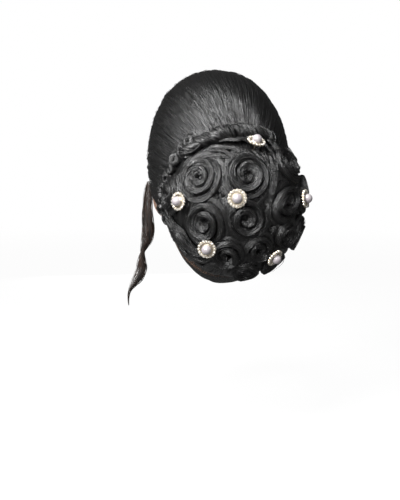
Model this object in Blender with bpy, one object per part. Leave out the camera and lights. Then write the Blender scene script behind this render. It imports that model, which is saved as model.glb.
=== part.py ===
"""An updo wig: a lace-edged cap, hair swept back over it into a bun of coiled rosettes, six
pearl pins and one loose lock at the left temple.

Units are metres, +Z is up and the wearer faces -Y. The origin is where the crown of the
head touches the inside of the cap.
"""

from collections import namedtuple
from math import atan2, cos, hypot, pi, radians, sin

import bmesh
import bpy
from mathutils import Matrix, Quaternion, Vector

Form = namedtuple("Form", "side back up down")

# Head and cap
HEAD = Form(side=0.075, back=0.098, up=0.097, down=0.135)
HEAD_SQUARENESS = 2.2
CAP_WALL = 0.0012
LACE_AT_BROW = 0.0025
LACE_AT_NAPE = 0.010
SEAT_GAP = 0.0003

# Hair over the cap: its thickness at the sides, the back, the crown and the nape
HAIR_THICKNESS = Form(side=0.0055, back=0.0078, up=0.0188, down=0.0065)
CROWN_LEAN = 0.035
HAIRLINE_THICKNESS = 0.003
HAIRLINE_TAPER = 0.22

# The bun: an ellipsoid set on the back of the head, with coils standing on it
BUN = Vector((0.072, 0.064, 0.079))
BUN_INSET = 0.018  # how far its middle lies inside the back of the head
BUN_DROP = 0.034
COIL_HEIGHT = 0.0112
COIL_SEAT = 0.0005
CREST_RADIUS = 0.0078

# Pins
PIN_STEM_RADIUS = 0.0006
PIN_DEPTH = 0.008
PIN_CLEARANCE = 0.0003
PLATE_RADIUS = 0.0105
PLATE_THICKNESS = 0.0010
PLATE_ABOVE_COILS = 0.0012
STONES = 16
STONE_HEIGHT = 0.0011
STONE_TABLE_SHARE = 0.55
PEARL_RADIUS = 0.00525
PEARL_FLAT_SHARE = 0.35

# Loose lock
LOCK_LENGTH = 0.152
LOCK_HALF_WIDTH = 0.0072
LOCK_HALF_THICKNESS = 0.0020

# Angles round the back of the head, in degrees: 0 is up, 90 the wearer's left, 180 down.
# reach is how far the hair goes from the middle of the bun to the hairline there.
HairlineRow = namedtuple("HairlineRow", "around reach")
HAIRLINE = [
    HairlineRow(0, 163),
    HairlineRow(14, 161),
    HairlineRow(29, 158),
    HairlineRow(44, 154),
    HairlineRow(59, 148),
    HairlineRow(74, 140),
    HairlineRow(88, 132),
    HairlineRow(101, 124),
    HairlineRow(110, 115),
    HairlineRow(114, 95),
    HairlineRow(117, 72),
    HairlineRow(124, 62),
    HairlineRow(134, 60),
    HairlineRow(149, 58),
    HairlineRow(165, 55),
    HairlineRow(180, 53),
]
# Rings of the hair, as shares of the reach
RINGS = [0.14, 0.28, 0.41, 0.53, 0.64, 0.75, 0.84, 0.92, 1.0]
POLE_DROP = radians(8.7)

# The rosettes. longitude and latitude are degrees on the bun, from its middle to the
# wearer's left and up. radius is a share of the bun's size, turns the windings of the coil,
# hand its sense, start and tilt angles in degrees, aspect its short side over its long one.
Rosette = namedtuple("Rosette", "longitude latitude radius turns hand start aspect tilt")
ROSETTES = [
    Rosette(44, 20.5, 0.334, 2.9, 1, 45, 1.0, 0),
    Rosette(2, 23, 0.335, 2.8, -1, 90, 1.0, 0),
    Rosette(-49, 31, 0.285, 2.3, 1, 100, 0.9, 30),
    Rosette(-79, 36, 0.200, 1.8, -1, 60, 1.0, 0),
    Rosette(-35, 2, 0.315, 2.2, 1, 0, 0.70, 150),
    Rosette(38, -12.5, 0.293, 2.5, -1, 330, 1.0, 0),
    Rosette(3, -9, 0.280, 2.5, 1, 180, 1.0, 0),
    Rosette(-40, -23, 0.235, 1.9, -1, 180, 0.9, 0),
    Rosette(-12, -34, 0.215, 2.0, 1, 250, 1.0, 0),
    Rosette(20, -39, 0.240, 2.1, -1, 290, 1.0, 0),
    Rosette(-4, -62, 0.235, 2.0, 1, 270, 1.0, 0),
    Rosette(81, 7, 0.225, 2.0, 1, 330, 1.0, 0),
    Rosette(-77, 7, 0.280, 2.2, -1, 0, 1.0, 0),
    Rosette(-73, -25, 0.275, 2.1, 1, 270, 1.0, 0),
    Rosette(-46, -52, 0.235, 1.9, -1, 300, 1.0, 0),
]
STATIONS_PER_TURN = 10

OUTER_RING = 0.35  # turns before the winding starts to close in
HEART = 0.25  # turns that would still fit in the open middle
TAIL_SHARE = 0.35  # of the winding's full width and height, where it starts
HEART_HEIGHT = 0.75  # of the full height, in the middle

# A petal's section: across as a share of the winding's pitch, height of the coil's height.
PetalPoint = namedtuple("PetalPoint", "across height")
PETAL = [
    PetalPoint(-0.30, 0.0),
    PetalPoint(0.34, 0.0),
    PetalPoint(0.46, 0.50),
    PetalPoint(0.16, 1.0),
    PetalPoint(-0.20, 0.72),
]

# Locks laid flat on the bun between the rosettes. width and height are shares of the
# bun's size and of the coils' height.
LaidPoint = namedtuple("LaidPoint", "longitude latitude width height")
LAID_LOCKS = {
    "side_lock": [
        LaidPoint(84, -12, 0.050, 0.40),
        LaidPoint(75, -19, 0.095, 0.70),
        LaidPoint(66, -28, 0.105, 0.75),
        LaidPoint(54, -38, 0.085, 0.65),
        LaidPoint(44, -45, 0.045, 0.40),
    ],
    "fan_lock": [
        LaidPoint(-24, 34, 0.055, 0.45),
        LaidPoint(-24, 25, 0.095, 0.80),
        LaidPoint(-20, 14, 0.080, 0.80),
        LaidPoint(-17, 4, 0.040, 0.60),
        LaidPoint(-18, -6, 0.030, 0.45),
    ],
}

LAID_STEPS = 3
LAID_SECTION = [
    PetalPoint(-1, 0),
    PetalPoint(0, 0),
    PetalPoint(1, 0),
    PetalPoint(0.85, 0.45),
    PetalPoint(0.3, 1),
    PetalPoint(-0.3, 1),
    PetalPoint(-0.85, 0.45),
]

# The crest runs in the crease between the bun and the crown. width is a share of its radius.
# It sinks a little between the two, whose surfaces lean apart by the crease's slope.
CrestPoint = namedtuple("CrestPoint", "longitude width")
CREST = [
    CrestPoint(86, 0.50),
    CrestPoint(80, 0.80),
    CrestPoint(66, 0.85),
    CrestPoint(40, 1.0),
    CrestPoint(10, 1.0),
    CrestPoint(-20, 1.0),
    CrestPoint(-45, 0.90),
    CrestPoint(-62, 0.75),
    CrestPoint(-70, 0.45),
]
CREST_STATIONS = 22
CREST_STRANDS = 3
CREST_LOBE = 0.08
CREST_SINK = 0.95
CREASE_SLOPE = 12
CREST_TWISTS = 4

# The pins: where the stem enters the bun, and the way the plate faces, both in degrees.
Pin = namedtuple("Pin", "longitude latitude face_longitude face_latitude")
PINS = [
    Pin(11, 6.5, 11, 3),
    Pin(58, 3, 60, 5),
    Pin(39, -33, 28, -14),
    Pin(-12, 47, -16, 64),
    Pin(-54, 4, -58, 5),
    Pin(-27, -39, -42, -38),
]

# The loose lock, from its root down: drop and out, to the side, are shares of its length,
# width a share of its half width, and turn how far its flat side has twisted, in degrees.
LockPoint = namedtuple("LockPoint", "drop out width turn")
LOCK_ROOT = HairlineRow(104, 112)
LOCK = [
    LockPoint(0.00, 0.000, 0.55, 0),
    LockPoint(0.08, 0.012, 0.75, 5),
    LockPoint(0.17, 0.018, 0.70, 30),
    LockPoint(0.26, 0.004, 0.90, 65),
    LockPoint(0.38, 0.000, 1.00, 85),
    LockPoint(0.48, 0.012, 0.92, 110),
    LockPoint(0.57, 0.046, 0.62, 168),
    LockPoint(0.64, 0.056, 0.72, 215),
    LockPoint(0.71, 0.060, 0.92, 250),
    LockPoint(0.80, 0.098, 0.90, 280),
    LockPoint(0.87, 0.148, 0.42, 335),
    LockPoint(0.93, 0.164, 0.26, 360),
    LockPoint(1.00, 0.162, 0.10, 370),
]

PETAL_REACH = max(point.across for point in PETAL)
HEAD_CENTRE = Vector((0, 0, -HEAD.up))
BUN_CENTRE = HEAD_CENTRE + Vector((0, HEAD.back - BUN_INSET, -BUN_DROP))
COIL_TOP = COIL_SEAT + COIL_HEIGHT
PLATE_BACK = COIL_TOP + PLATE_ABOVE_COILS


# Scene, collections and materials
for old in list(bpy.data.objects):
    bpy.data.objects.remove(old, do_unlink=True)


def collection(name):
    made = bpy.data.collections.new(name)
    bpy.context.scene.collection.children.link(made)
    return made


WIG = collection("updo_wig")
CUTTERS = collection("cutters")


def finish(name, colour, roughness, metallic=0.0):
    material = bpy.data.materials.new(name)
    material.use_nodes = True
    shader = material.node_tree.nodes["Principled BSDF"]
    shader.inputs["Base Color"].default_value = (*colour, 1)
    shader.inputs["Roughness"].default_value = roughness
    shader.inputs["Metallic"].default_value = metallic
    material.diffuse_color = (*colour, 1)
    return material


HAIR = finish("hair", (0.012, 0.012, 0.013), 0.38)
LACE = finish("cap_lace", (0.060, 0.032, 0.020), 0.75)
METAL = finish("pin_metal", (0.86, 0.80, 0.66), 0.25, 1.0)
PEARL = finish("pearl", (0.83, 0.79, 0.83), 0.22)


def part(name, mesh, material):
    """An object of the wig, smooth except over sharp edges."""
    made = bpy.data.objects.new(name, mesh)
    WIG.objects.link(made)
    if not mesh.materials:
        mesh.materials.append(material)
        mesh.shade_smooth()
        mesh.set_sharp_from_angle(angle=radians(40))
    return made


def helper(name, mesh):
    """A cutter, or a shape that is joined to another, which is left out of the wig itself."""
    made = bpy.data.objects.new(name, mesh)
    CUTTERS.objects.link(made)
    made.hide_render = True
    made.display_type = "WIRE"
    return made


def boolean(target, operation, other):
    modifier = target.modifiers.new(other.name, "BOOLEAN")
    modifier.operation = operation
    modifier.solver = "EXACT"
    modifier.object = other


def mesh_from(name, bm):
    mesh = bpy.data.meshes.new(name)
    bmesh.ops.recalc_face_normals(bm, faces=bm.faces[:])
    bm.to_mesh(mesh)
    bm.free()
    return mesh


def skin(bm, first, second):
    """Triangle pairs between two rings of as many vertices, all split the same way."""
    for i in range(len(first)):
        j = (i + 1) % len(first)
        bm.faces.new((first[i], first[j], second[j]))
        bm.faces.new((first[i], second[j], second[i]))


def loft(name, sections):
    """A closed body through rings of points, flat at both ends."""
    bm = bmesh.new()
    rings = [[bm.verts.new(point) for point in section] for section in sections]
    for first, second in zip(rings, rings[1:]):
        skin(bm, first, second)
    bm.faces.new(rings[0])
    bm.faces.new(rings[-1])
    return mesh_from(name, bm)


def between(rows, key, at, value):
    """The value of one column at a place in another, straight between the rows."""
    rows = sorted(rows, key=lambda row: getattr(row, key))
    for low, high in zip(rows, rows[1:]):
        start, end = getattr(low, key), getattr(high, key)
        if start <= at <= end:
            share = (at - start) / (end - start)
            return getattr(low, value) * (1 - share) + getattr(high, value) * share
    raise ValueError(f"{at} is outside the table's {key}")


def eased(share):
    share = min(max(share, 0.0), 1.0)
    return share * share * (3 - 2 * share)


# Head-shaped forms
def grown(form, amount):
    return Form(*(size + amount for size in form))


def form_radius(form, direction, lean=0.0):
    """How far a head-shaped form, leaning to the wearer's left, reaches in a direction."""
    n = HEAD_SQUARENESS
    tall = form.up if direction.z > 0 else form.down
    aside = direction.x - lean * direction.z
    total = abs(aside / form.side) ** n + abs(direction.y / form.back) ** n
    total += abs(direction.z / tall) ** n
    return total ** (-1 / n)


def head_direction(around, away):
    """A direction from the head's centre, in radians round and away from the bun's middle."""
    axis = Vector((0, cos(POLE_DROP), -sin(POLE_DROP)))
    up = Vector((0, sin(POLE_DROP), cos(POLE_DROP)))
    left = Vector((1, 0, 0))
    return cos(away) * axis + sin(away) * (cos(around) * up + sin(around) * left)


CAP_OUTSIDE = grown(HEAD, CAP_WALL)
HAIR_INSIDE = grown(HEAD, CAP_WALL + SEAT_GAP)
HAIR_OUTSIDE = Form(*(inside + hair for inside, hair in zip(HAIR_INSIDE, HAIR_THICKNESS)))


def hair_radius(direction, share):
    """The hair's surface at a share of its reach: full behind, thin at the hairline."""
    inside = form_radius(HAIR_INSIDE, direction)
    full = form_radius(HAIR_OUTSIDE, direction, CROWN_LEAN) - inside
    fullness = eased((1 - share) / HAIRLINE_TAPER)
    return inside + HAIRLINE_THICKNESS + max(full - HAIRLINE_THICKNESS, 0) * fullness


def reach(around):
    """The hairline's reach, in radians, the same on both sides of the head."""
    around = around % 360
    return radians(between(HAIRLINE, "around", min(around, 360 - around), "reach"))


AROUND = [row.around for row in HAIRLINE] + [360 - row.around for row in HAIRLINE[-2:0:-1]]


def head_rings(shares):
    """Rings of directions over the head, out to each share of the hair's reach."""
    return [
        [head_direction(radians(around), share * reach(around)) for around in AROUND]
        for share in shares
    ]


def lace_ring():
    """The cap's edge, a little past the hairline."""
    ring = []
    for around in AROUND:
        low = (1 - cos(radians(around))) / 2
        margin = LACE_AT_BROW + (LACE_AT_NAPE - LACE_AT_BROW) * low**3
        away = reach(around) + margin / form_radius(CAP_OUTSIDE, head_direction(0, 0))
        ring.append(head_direction(radians(around), away))
    return ring


def shell(name, rings, inner, outer):
    """An open bowl over the head, between an inner and an outer surface."""
    bm = bmesh.new()
    pole = head_direction(0, 0)
    edges = []
    for surface in (inner, outer):
        middle = bm.verts.new(HEAD_CENTRE + pole * surface(pole, 0))
        rows = []
        for index, ring in enumerate(rings):
            rows.append([bm.verts.new(HEAD_CENTRE + d * surface(d, index)) for d in ring])
        for i in range(len(AROUND)):
            bm.faces.new((middle, rows[0][i], rows[0][(i + 1) % len(AROUND)]))
        for first, second in zip(rows, rows[1:]):
            skin(bm, first, second)
        edges.append(rows[-1])
    skin(bm, *edges)
    return mesh_from(name, bm)


def make_cap():
    mesh = shell(
        "wig_cap",
        head_rings(RINGS) + [lace_ring()],
        lambda direction, index: form_radius(HEAD, direction),
        lambda direction, index: form_radius(CAP_OUTSIDE, direction),
    )
    part("wig_cap", mesh, LACE)


def make_swept_hair():
    mesh = shell(
        "swept_hair",
        head_rings(RINGS),
        lambda direction, index: form_radius(HAIR_INSIDE, direction),
        lambda direction, index: hair_radius(direction, RINGS[index]),
    )
    part("swept_hair", mesh, HAIR)


def make_hair_room():
    """The head with its hair, closed all round and a gap larger: what the bun is cut by."""
    bm = bmesh.new()
    ends = [head_direction(0, 0), head_direction(0, pi)]
    rings = head_rings(RINGS)
    shares = list(RINGS)
    for step in (0.35, 0.7):
        ring = []
        for around in AROUND:
            away = reach(around) * (1 - step) + pi * step
            ring.append(head_direction(radians(around), away))
        rings.append(ring)
        shares.append(1.0)
    rows = [
        [bm.verts.new(HEAD_CENTRE + d * (hair_radius(d, share) + SEAT_GAP)) for d in ring]
        for share, ring in zip(shares, rings)
    ]
    for first, second in zip(rows, rows[1:]):
        skin(bm, first, second)
    for direction, share, row in ((ends[0], 0, rows[0]), (ends[1], 1, rows[-1])):
        tip = bm.verts.new(HEAD_CENTRE + direction * (hair_radius(direction, share) + SEAT_GAP))
        for i in range(len(row)):
            bm.faces.new((tip, row[i], row[(i + 1) % len(row)]))
    return helper("hair_room", mesh_from("hair_room", bm))


# The bun
def bun_direction(longitude, latitude):
    lon, lat = radians(longitude), radians(latitude)
    return Vector((cos(lat) * sin(lon), cos(lat) * cos(lon), sin(lat)))


def bun_point(direction, height):
    """A point over the bun's surface, in a direction of the unit sphere that it is scaled from."""
    return BUN_CENTRE + Vector((BUN[i] + height) * direction[i] for i in range(3))


def bun_tangents(direction):
    """Unit steps to the wearer's left and up over the bun."""
    left = direction.cross(Vector((0, 0, 1))).normalized()
    return left, left.cross(direction)


def on_dome(direction, distance, bearing):
    """The direction reached from another by an arc, with the bearing from left towards up."""
    left, up = bun_tangents(direction)
    step = cos(bearing) * left + sin(bearing) * up
    return cos(distance) * direction + sin(distance) * step


def make_bun(hair_room, pin_rooms):
    bm = bmesh.new()
    bmesh.ops.create_uvsphere(bm, u_segments=30, v_segments=16, radius=1)
    bmesh.ops.transform(bm, verts=bm.verts, matrix=Matrix.Diagonal((*BUN, 1)))
    bmesh.ops.translate(bm, verts=bm.verts, vec=BUN_CENTRE)
    bun = part("chignon_core", mesh_from("chignon_core", bm), HAIR)
    boolean(bun, "DIFFERENCE", hair_room)
    for room in pin_rooms:
        boolean(bun, "DIFFERENCE", room)


def make_rosette(name, row):
    """A petal section wound inwards in a spiral over the dome."""
    middle = bun_direction(row.longitude, row.latitude)
    pitch = row.radius / (row.turns + HEART)
    stations = round(row.turns * STATIONS_PER_TURN)
    sections = []
    for station in range(stations + 1):
        wound = station / STATIONS_PER_TURN
        bearing = radians(row.start) + row.hand * wound * 2 * pi
        tail = TAIL_SHARE + (1 - TAIL_SHARE) * eased(wound / OUTER_RING)
        heart = HEART_HEIGHT + (1 - HEART_HEIGHT) * eased(row.turns - wound)
        ring = row.radius - pitch * (PETAL_REACH + max(wound - OUTER_RING, 0))
        section = []
        for point in PETAL:
            distance = ring + pitch * point.across * tail
            short = distance * sin(bearing) * row.aspect
            long = distance * cos(bearing)
            height = COIL_SEAT + COIL_HEIGHT * point.height * min(tail, heart)
            direction = on_dome(middle, hypot(long, short), atan2(short, long) + radians(row.tilt))
            section.append(bun_point(direction, height))
        sections.append(section)
    part(name, loft(name, sections), HAIR)


def smooth_rows(rows, steps):
    """Rows of a table with steps more between each two, on a smooth curve through them."""
    kind = type(rows[0])
    made = []
    for index in range(len(rows) - 1):
        near = [rows[min(max(index + offset, 0), len(rows) - 1)] for offset in (-1, 0, 1, 2)]
        for step in range(steps):
            t = step / steps
            weights = (
                -0.5 * t + t**2 - 0.5 * t**3,
                1 - 2.5 * t**2 + 1.5 * t**3,
                0.5 * t + 2 * t**2 - 1.5 * t**3,
                -0.5 * t**2 + 0.5 * t**3,
            )
            made.append(kind(*(sum(w * v for w, v in zip(weights, vs)) for vs in zip(*near))))
    return made + [rows[-1]]


def make_laid_lock(name, rows):
    """A low lock of hair lying on the bun, thin at both ends."""
    rows = smooth_rows(rows, LAID_STEPS)
    directions = [bun_direction(row.longitude, row.latitude) for row in rows]
    sections = []
    for index, row in enumerate(rows):
        before = directions[max(index - 1, 0)]
        after = directions[min(index + 1, len(rows) - 1)]
        across = (after - before).cross(directions[index]).normalized()
        section = []
        for point in LAID_SECTION:
            direction = (directions[index] + across * row.width * point.across).normalized()
            lift = COIL_SEAT + COIL_HEIGHT * row.height * point.height
            section.append(bun_point(direction, lift))
        sections.append(section)
    part(name, loft(name, sections), HAIR)


def crease_latitude(longitude, radius):
    """Where a roll of that radius lies against both the bun and the hair."""
    low, high = 0.0, 89.0
    height = radius * CREST_SINK + COIL_SEAT
    for _ in range(40):
        latitude = (low + high) / 2
        arm = bun_point(bun_direction(longitude, latitude), height) - HEAD_CENTRE
        clear = arm.length - form_radius(HAIR_OUTSIDE, arm.normalized(), CROWN_LEAN)
        if clear > (radius * CREST_SINK + SEAT_GAP) / cos(radians(CREASE_SLOPE)):
            low = latitude
        else:
            high = latitude
    return low


def make_crest():
    """Three strands twisted into one roll, in the crease over the bun."""
    first, last = CREST[0].longitude, CREST[-1].longitude
    centres, widths = [], []
    for station in range(CREST_STATIONS + 1):
        longitude = first + (last - first) * station / CREST_STATIONS
        width = between(CREST, "longitude", longitude, "width")
        radius = CREST_RADIUS * width
        latitude = crease_latitude(longitude, radius)
        lift = radius * CREST_SINK + COIL_SEAT
        centres.append(bun_point(bun_direction(longitude, latitude), lift))
        widths.append(radius)
    sections = []
    for station, (centre, radius) in enumerate(zip(centres, widths)):
        before = centres[max(station - 1, 0)]
        after = centres[min(station + 1, CREST_STATIONS)]
        along = (after - before).normalized()
        out = (centre - BUN_CENTRE).cross(along).normalized()
        up = along.cross(out)
        turn = 2 * pi * CREST_TWISTS * station / CREST_STATIONS
        section = []
        for side in range(9):
            angle = 2 * pi * side / 9
            lobe = 1 - CREST_LOBE * (1 - cos(CREST_STRANDS * angle - turn))
            section.append(centre + radius * lobe * (cos(angle) * out + sin(angle) * up))
        sections.append(section)
    part("crest_twist", loft("crest_twist", sections), HAIR)


# Pins
def pin_frame(row):
    """The stem's entry into the bun, with Z the way the plate faces."""
    foot = bun_point(bun_direction(row.longitude, row.latitude), 0)
    face = bun_direction(row.face_longitude, row.face_latitude)
    facing = Vector((face[0] / BUN[0], face[1] / BUN[1], face[2] / BUN[2]))
    turn = facing.to_track_quat("Z", "Y")
    return Matrix.Translation(foot) @ turn.to_matrix().to_4x4()


def cone(bm, sides, low_radius, high_radius, low, high, at=(0, 0), turn=0.0):
    """A straight-sided round body between two heights."""
    place = Matrix.Translation((at[0], at[1], (low + high) / 2)) @ Matrix.Rotation(turn, 4, "Z")
    bmesh.ops.create_cone(
        bm,
        cap_ends=True,
        segments=sides,
        radius1=low_radius,
        radius2=high_radius,
        depth=high - low,
        matrix=place,
    )


def make_pin_room(index, row):
    """The hole that a stem fills in the bun, a clearance wider and deeper."""
    bm = bmesh.new()
    cone(
        bm,
        6,
        PIN_STEM_RADIUS + PIN_CLEARANCE,
        PIN_STEM_RADIUS + PIN_CLEARANCE,
        -PIN_DEPTH - PIN_CLEARANCE,
        PLATE_BACK,
    )
    room = helper(f"pin_room_{index}", mesh_from(f"pin_room_{index}", bm))
    room.matrix_world = pin_frame(row)
    return room


def make_setting_mesh():
    """A plate with a ring of cut stones and a stem, fused into one body."""
    plate = bmesh.new()
    top = PLATE_BACK + PLATE_THICKNESS
    cone(plate, STONES, PLATE_RADIUS, PLATE_RADIUS, PLATE_BACK, top)
    stem = bmesh.new()
    cone(stem, 6, PIN_STEM_RADIUS, PIN_STEM_RADIUS, -PIN_DEPTH, PLATE_BACK + PLATE_THICKNESS / 2)
    stones = bmesh.new()
    half = (PLATE_RADIUS - PEARL_RADIUS) * 0.31
    ring = PLATE_RADIUS - half * 1.1
    for index in range(STONES):
        angle = 2 * pi * index / STONES
        cone(
            stones,
            8,
            half,
            half * STONE_TABLE_SHARE,
            top - PLATE_THICKNESS * 0.3,
            top + STONE_HEIGHT,
            (ring * cos(angle), ring * sin(angle)),
            angle + pi / 8,
        )
    pattern = helper("setting_pattern", mesh_from("setting_pattern", plate))
    boolean(pattern, "UNION", helper("setting_stem", mesh_from("setting_stem", stem)))
    boolean(pattern, "UNION", helper("setting_stones", mesh_from("setting_stones", stones)))
    bpy.context.view_layer.update()
    graph = bpy.context.evaluated_depsgraph_get()
    return bpy.data.meshes.new_from_object(pattern.evaluated_get(graph))


def make_pearl_mesh():
    """A ball ground flat where it sits on the plate."""
    seat = PLATE_BACK + PLATE_THICKNESS + SEAT_GAP
    flat = PEARL_RADIUS * PEARL_FLAT_SHARE
    bm = bmesh.new()
    bmesh.ops.create_uvsphere(bm, u_segments=12, v_segments=7, radius=PEARL_RADIUS)
    bmesh.ops.translate(bm, verts=bm.verts, vec=(0, 0, seat + flat))
    cut = bmesh.ops.bisect_plane(
        bm,
        geom=bm.verts[:] + bm.edges[:] + bm.faces[:],
        plane_co=(0, 0, seat),
        plane_no=(0, 0, 1),
        clear_inner=True,
    )
    rim = [item for item in cut["geom_cut"] if isinstance(item, bmesh.types.BMEdge)]
    bmesh.ops.edgeloop_fill(bm, edges=rim)
    return mesh_from("pin_pearl", bm)


def make_pins():
    setting_mesh = make_setting_mesh()
    pearl_mesh = make_pearl_mesh()
    for index, row in enumerate(PINS, start=1):
        foot = bpy.data.objects.new(f"pin_{index}", None)
        WIG.objects.link(foot)
        foot.matrix_world = pin_frame(row)
        for name, mesh, material in (
            (f"pin_setting_{index}", setting_mesh, METAL),
            (f"pin_pearl_{index}", pearl_mesh, PEARL),
        ):
            part(name, mesh, material).parent = foot


# The loose lock
def make_temple_lock():
    """A flat lock that hangs from the left temple and twists as it falls."""
    around, away = radians(LOCK_ROOT.around), radians(LOCK_ROOT.reach)
    direction = head_direction(around, away)
    share = away / reach(LOCK_ROOT.around)
    surface = HEAD_CENTRE + direction * hair_radius(direction, share)
    stand_off = LOCK_HALF_THICKNESS + 2 * SEAT_GAP
    root = surface + Vector((1, 0, 0)) * stand_off
    sections = []
    for row in LOCK:
        centre = root + Vector((row.out, 0, -row.drop)) * LOCK_LENGTH
        turn = radians(row.turn)
        wide = Quaternion((0, 0, 1), turn) @ Vector((0, 1, 0)) * LOCK_HALF_WIDTH * row.width
        thick = Quaternion((0, 0, 1), turn) @ Vector((1, 0, 0)) * LOCK_HALF_THICKNESS
        thick *= min(1, row.width * 2)
        section = []
        for side in range(8):
            angle = 2 * pi * side / 8
            section.append(centre + cos(angle) * wide + sin(angle) * thick)
        sections.append(section)
    part("temple_lock", loft("temple_lock", sections), HAIR)


make_cap()
make_swept_hair()
make_bun(make_hair_room(), [make_pin_room(i, row) for i, row in enumerate(PINS, start=1)])
for number, rosette in enumerate(ROSETTES, start=1):
    make_rosette(f"rosette_{number:02d}", rosette)
for lock_name, lock_rows in LAID_LOCKS.items():
    make_laid_lock(lock_name, lock_rows)
make_crest()
make_pins()
make_temple_lock()
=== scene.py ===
# %% [markdown]
# # An updo wig, dressed with hair, lace, pearls and stones
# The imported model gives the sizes: a cap, the hair combed over it, a bun with coiled rosettes,
# a twisted crest, six pins and one loose lock. This script keeps those places and makes the
# surfaces that the eye sees. Lengths are metres, +Z is up, the wearer faces -Y and the
# wearer's left is +X. The origin is the inside of the cap at its highest point.

# %% Load the frame
from collections import namedtuple
from math import cos, pi, radians, sin

import bmesh
import bpy
import numpy as np
from mathutils import Matrix, Vector


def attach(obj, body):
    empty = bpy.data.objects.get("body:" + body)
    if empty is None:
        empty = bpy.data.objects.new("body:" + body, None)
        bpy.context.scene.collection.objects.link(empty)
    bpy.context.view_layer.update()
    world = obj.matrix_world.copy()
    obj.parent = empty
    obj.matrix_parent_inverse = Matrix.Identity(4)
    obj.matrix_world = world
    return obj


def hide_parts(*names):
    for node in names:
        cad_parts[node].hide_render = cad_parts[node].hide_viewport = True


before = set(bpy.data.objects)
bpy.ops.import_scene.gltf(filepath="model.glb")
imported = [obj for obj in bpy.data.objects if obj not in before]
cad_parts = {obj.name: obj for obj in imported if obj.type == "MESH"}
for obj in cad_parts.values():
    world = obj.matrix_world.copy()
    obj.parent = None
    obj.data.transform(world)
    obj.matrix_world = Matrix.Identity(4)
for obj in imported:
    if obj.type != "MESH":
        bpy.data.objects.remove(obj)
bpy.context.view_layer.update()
print("frame:", len(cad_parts), "nodes")

# %% [markdown]
# ## Camera
# The camera stands behind the wearer, a little to their left, at head height, and looks slightly
# down. A long lens keeps the bun from bulging towards the viewer.

# %% Camera
CAMERA_PLACE = (0.287387, 1.215733, -0.053376)
CAMERA_YAW = radians(192.31782)
CAMERA_PITCH = radians(-6.39199)

forward = Vector(
    (
        sin(CAMERA_YAW) * cos(CAMERA_PITCH),
        cos(CAMERA_YAW) * cos(CAMERA_PITCH),
        sin(CAMERA_PITCH),
    )
)
bpy.ops.object.camera_add(location=CAMERA_PLACE)
camera = bpy.context.object
camera.name = "portrait_camera"
camera.rotation_euler = forward.to_track_quat("-Z", "Y").to_euler()
camera.data.lens = 75
camera.data.sensor_width = 36
bpy.context.scene.camera = camera
print("camera at", [round(value, 3) for value in camera.location])

# %% [markdown]
# ## Room and light
# Black hair has no colour of its own to show: it is drawn by what it reflects. Two soft lights,
# one high up and one at the left, make the bright band on the crown and the shine on the coils.
# Four weaker ones fill the crown's side, the bun's front, the right side and the face opening.
# The floor is a wide disc that turns into plain white far from the wig, so that it meets the
# white sky with no line, from any side. The sky is bright to look at and dimmer as a light.

# %% Room and light
FLOOR_HEIGHT = -0.397
FLOOR_RADIUS = 9.0
FLOOR_FADE = (0.5, 2.6)  # from here to there the floor turns white
FLOOR_GLOW = 0.90
SKY_LIGHT = 0.05  # the white sky as a light, in shares of what the camera sees


def deselect_all():
    bpy.ops.object.select_all(action="DESELECT")


def plain_material(name, colour, roughness):
    material = bpy.data.materials.new(name)
    material.use_nodes = True
    shader = material.node_tree.nodes["Principled BSDF"]
    shader.inputs["Base Color"].default_value = (*colour, 1)
    shader.inputs["Roughness"].default_value = roughness
    return material


def range_node(tree, value, low, high, to_low, to_high):
    made = tree.nodes.new("ShaderNodeMapRange")
    tree.links.new(value, made.inputs["Value"])
    numbers = (low, high, to_low, to_high)
    for name, number in zip(("From Min", "From Max", "To Min", "To Max"), numbers):
        made.inputs[name].default_value = number
    return made.outputs["Result"]


def white_to_camera(tree):
    """Full strength where the camera looks, and SKY_LIGHT for all other rays."""
    seen = tree.nodes.new("ShaderNodeLightPath")
    return range_node(tree, seen.outputs["Is Camera Ray"], 0.0, 1.0, SKY_LIGHT, 1.0)


def make_floor():
    deselect_all()
    bpy.ops.mesh.primitive_circle_add(
        vertices=96, radius=FLOOR_RADIUS, fill_type="NGON", location=(0, 0, FLOOR_HEIGHT)
    )
    bpy.ops.object.transform_apply()
    floor = bpy.context.object
    floor.name = "pale_floor"
    material = plain_material("pale_paper", (0.88, 0.88, 0.88), 0.9)
    tree = material.node_tree
    place = tree.nodes.new("ShaderNodeTexCoord")
    far = tree.nodes.new("ShaderNodeVectorMath")
    far.operation = "LENGTH"
    tree.links.new(place.outputs["Object"], far.inputs[0])
    fade = range_node(tree, far.outputs["Value"], *FLOOR_FADE, FLOOR_GLOW, 1.0)
    glow = tree.nodes.new("ShaderNodeEmission")
    tree.links.new(white_to_camera(tree), glow.inputs["Strength"])
    blend = tree.nodes.new("ShaderNodeMixShader")
    tree.links.new(fade, blend.inputs[0])
    tree.links.new(tree.nodes["Principled BSDF"].outputs[0], blend.inputs[1])
    tree.links.new(glow.outputs[0], blend.inputs[2])
    tree.links.new(blend.outputs[0], tree.nodes["Material Output"].inputs["Surface"])
    floor.data.materials.append(material)
    return floor


make_floor()

world = bpy.data.worlds.new("studio")
world.use_nodes = True
sky = world.node_tree
background = sky.nodes["Background"]
background.inputs["Color"].default_value = (1.0, 1.0, 1.0, 1)
sky.links.new(white_to_camera(sky), background.inputs["Strength"])
bpy.context.scene.world = world
bpy.context.scene.view_settings.view_transform = "Standard"


def soft_light(name, place, target, size, energy):
    bpy.ops.object.light_add(type="AREA", location=place)
    light = bpy.context.object
    light.name = name
    light.data.shape = "DISK"
    light.data.size = size
    light.data.energy = energy
    aim = Vector(target) - Vector(place)
    light.rotation_euler = aim.to_track_quat("-Z", "Y").to_euler()
    return light


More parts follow.
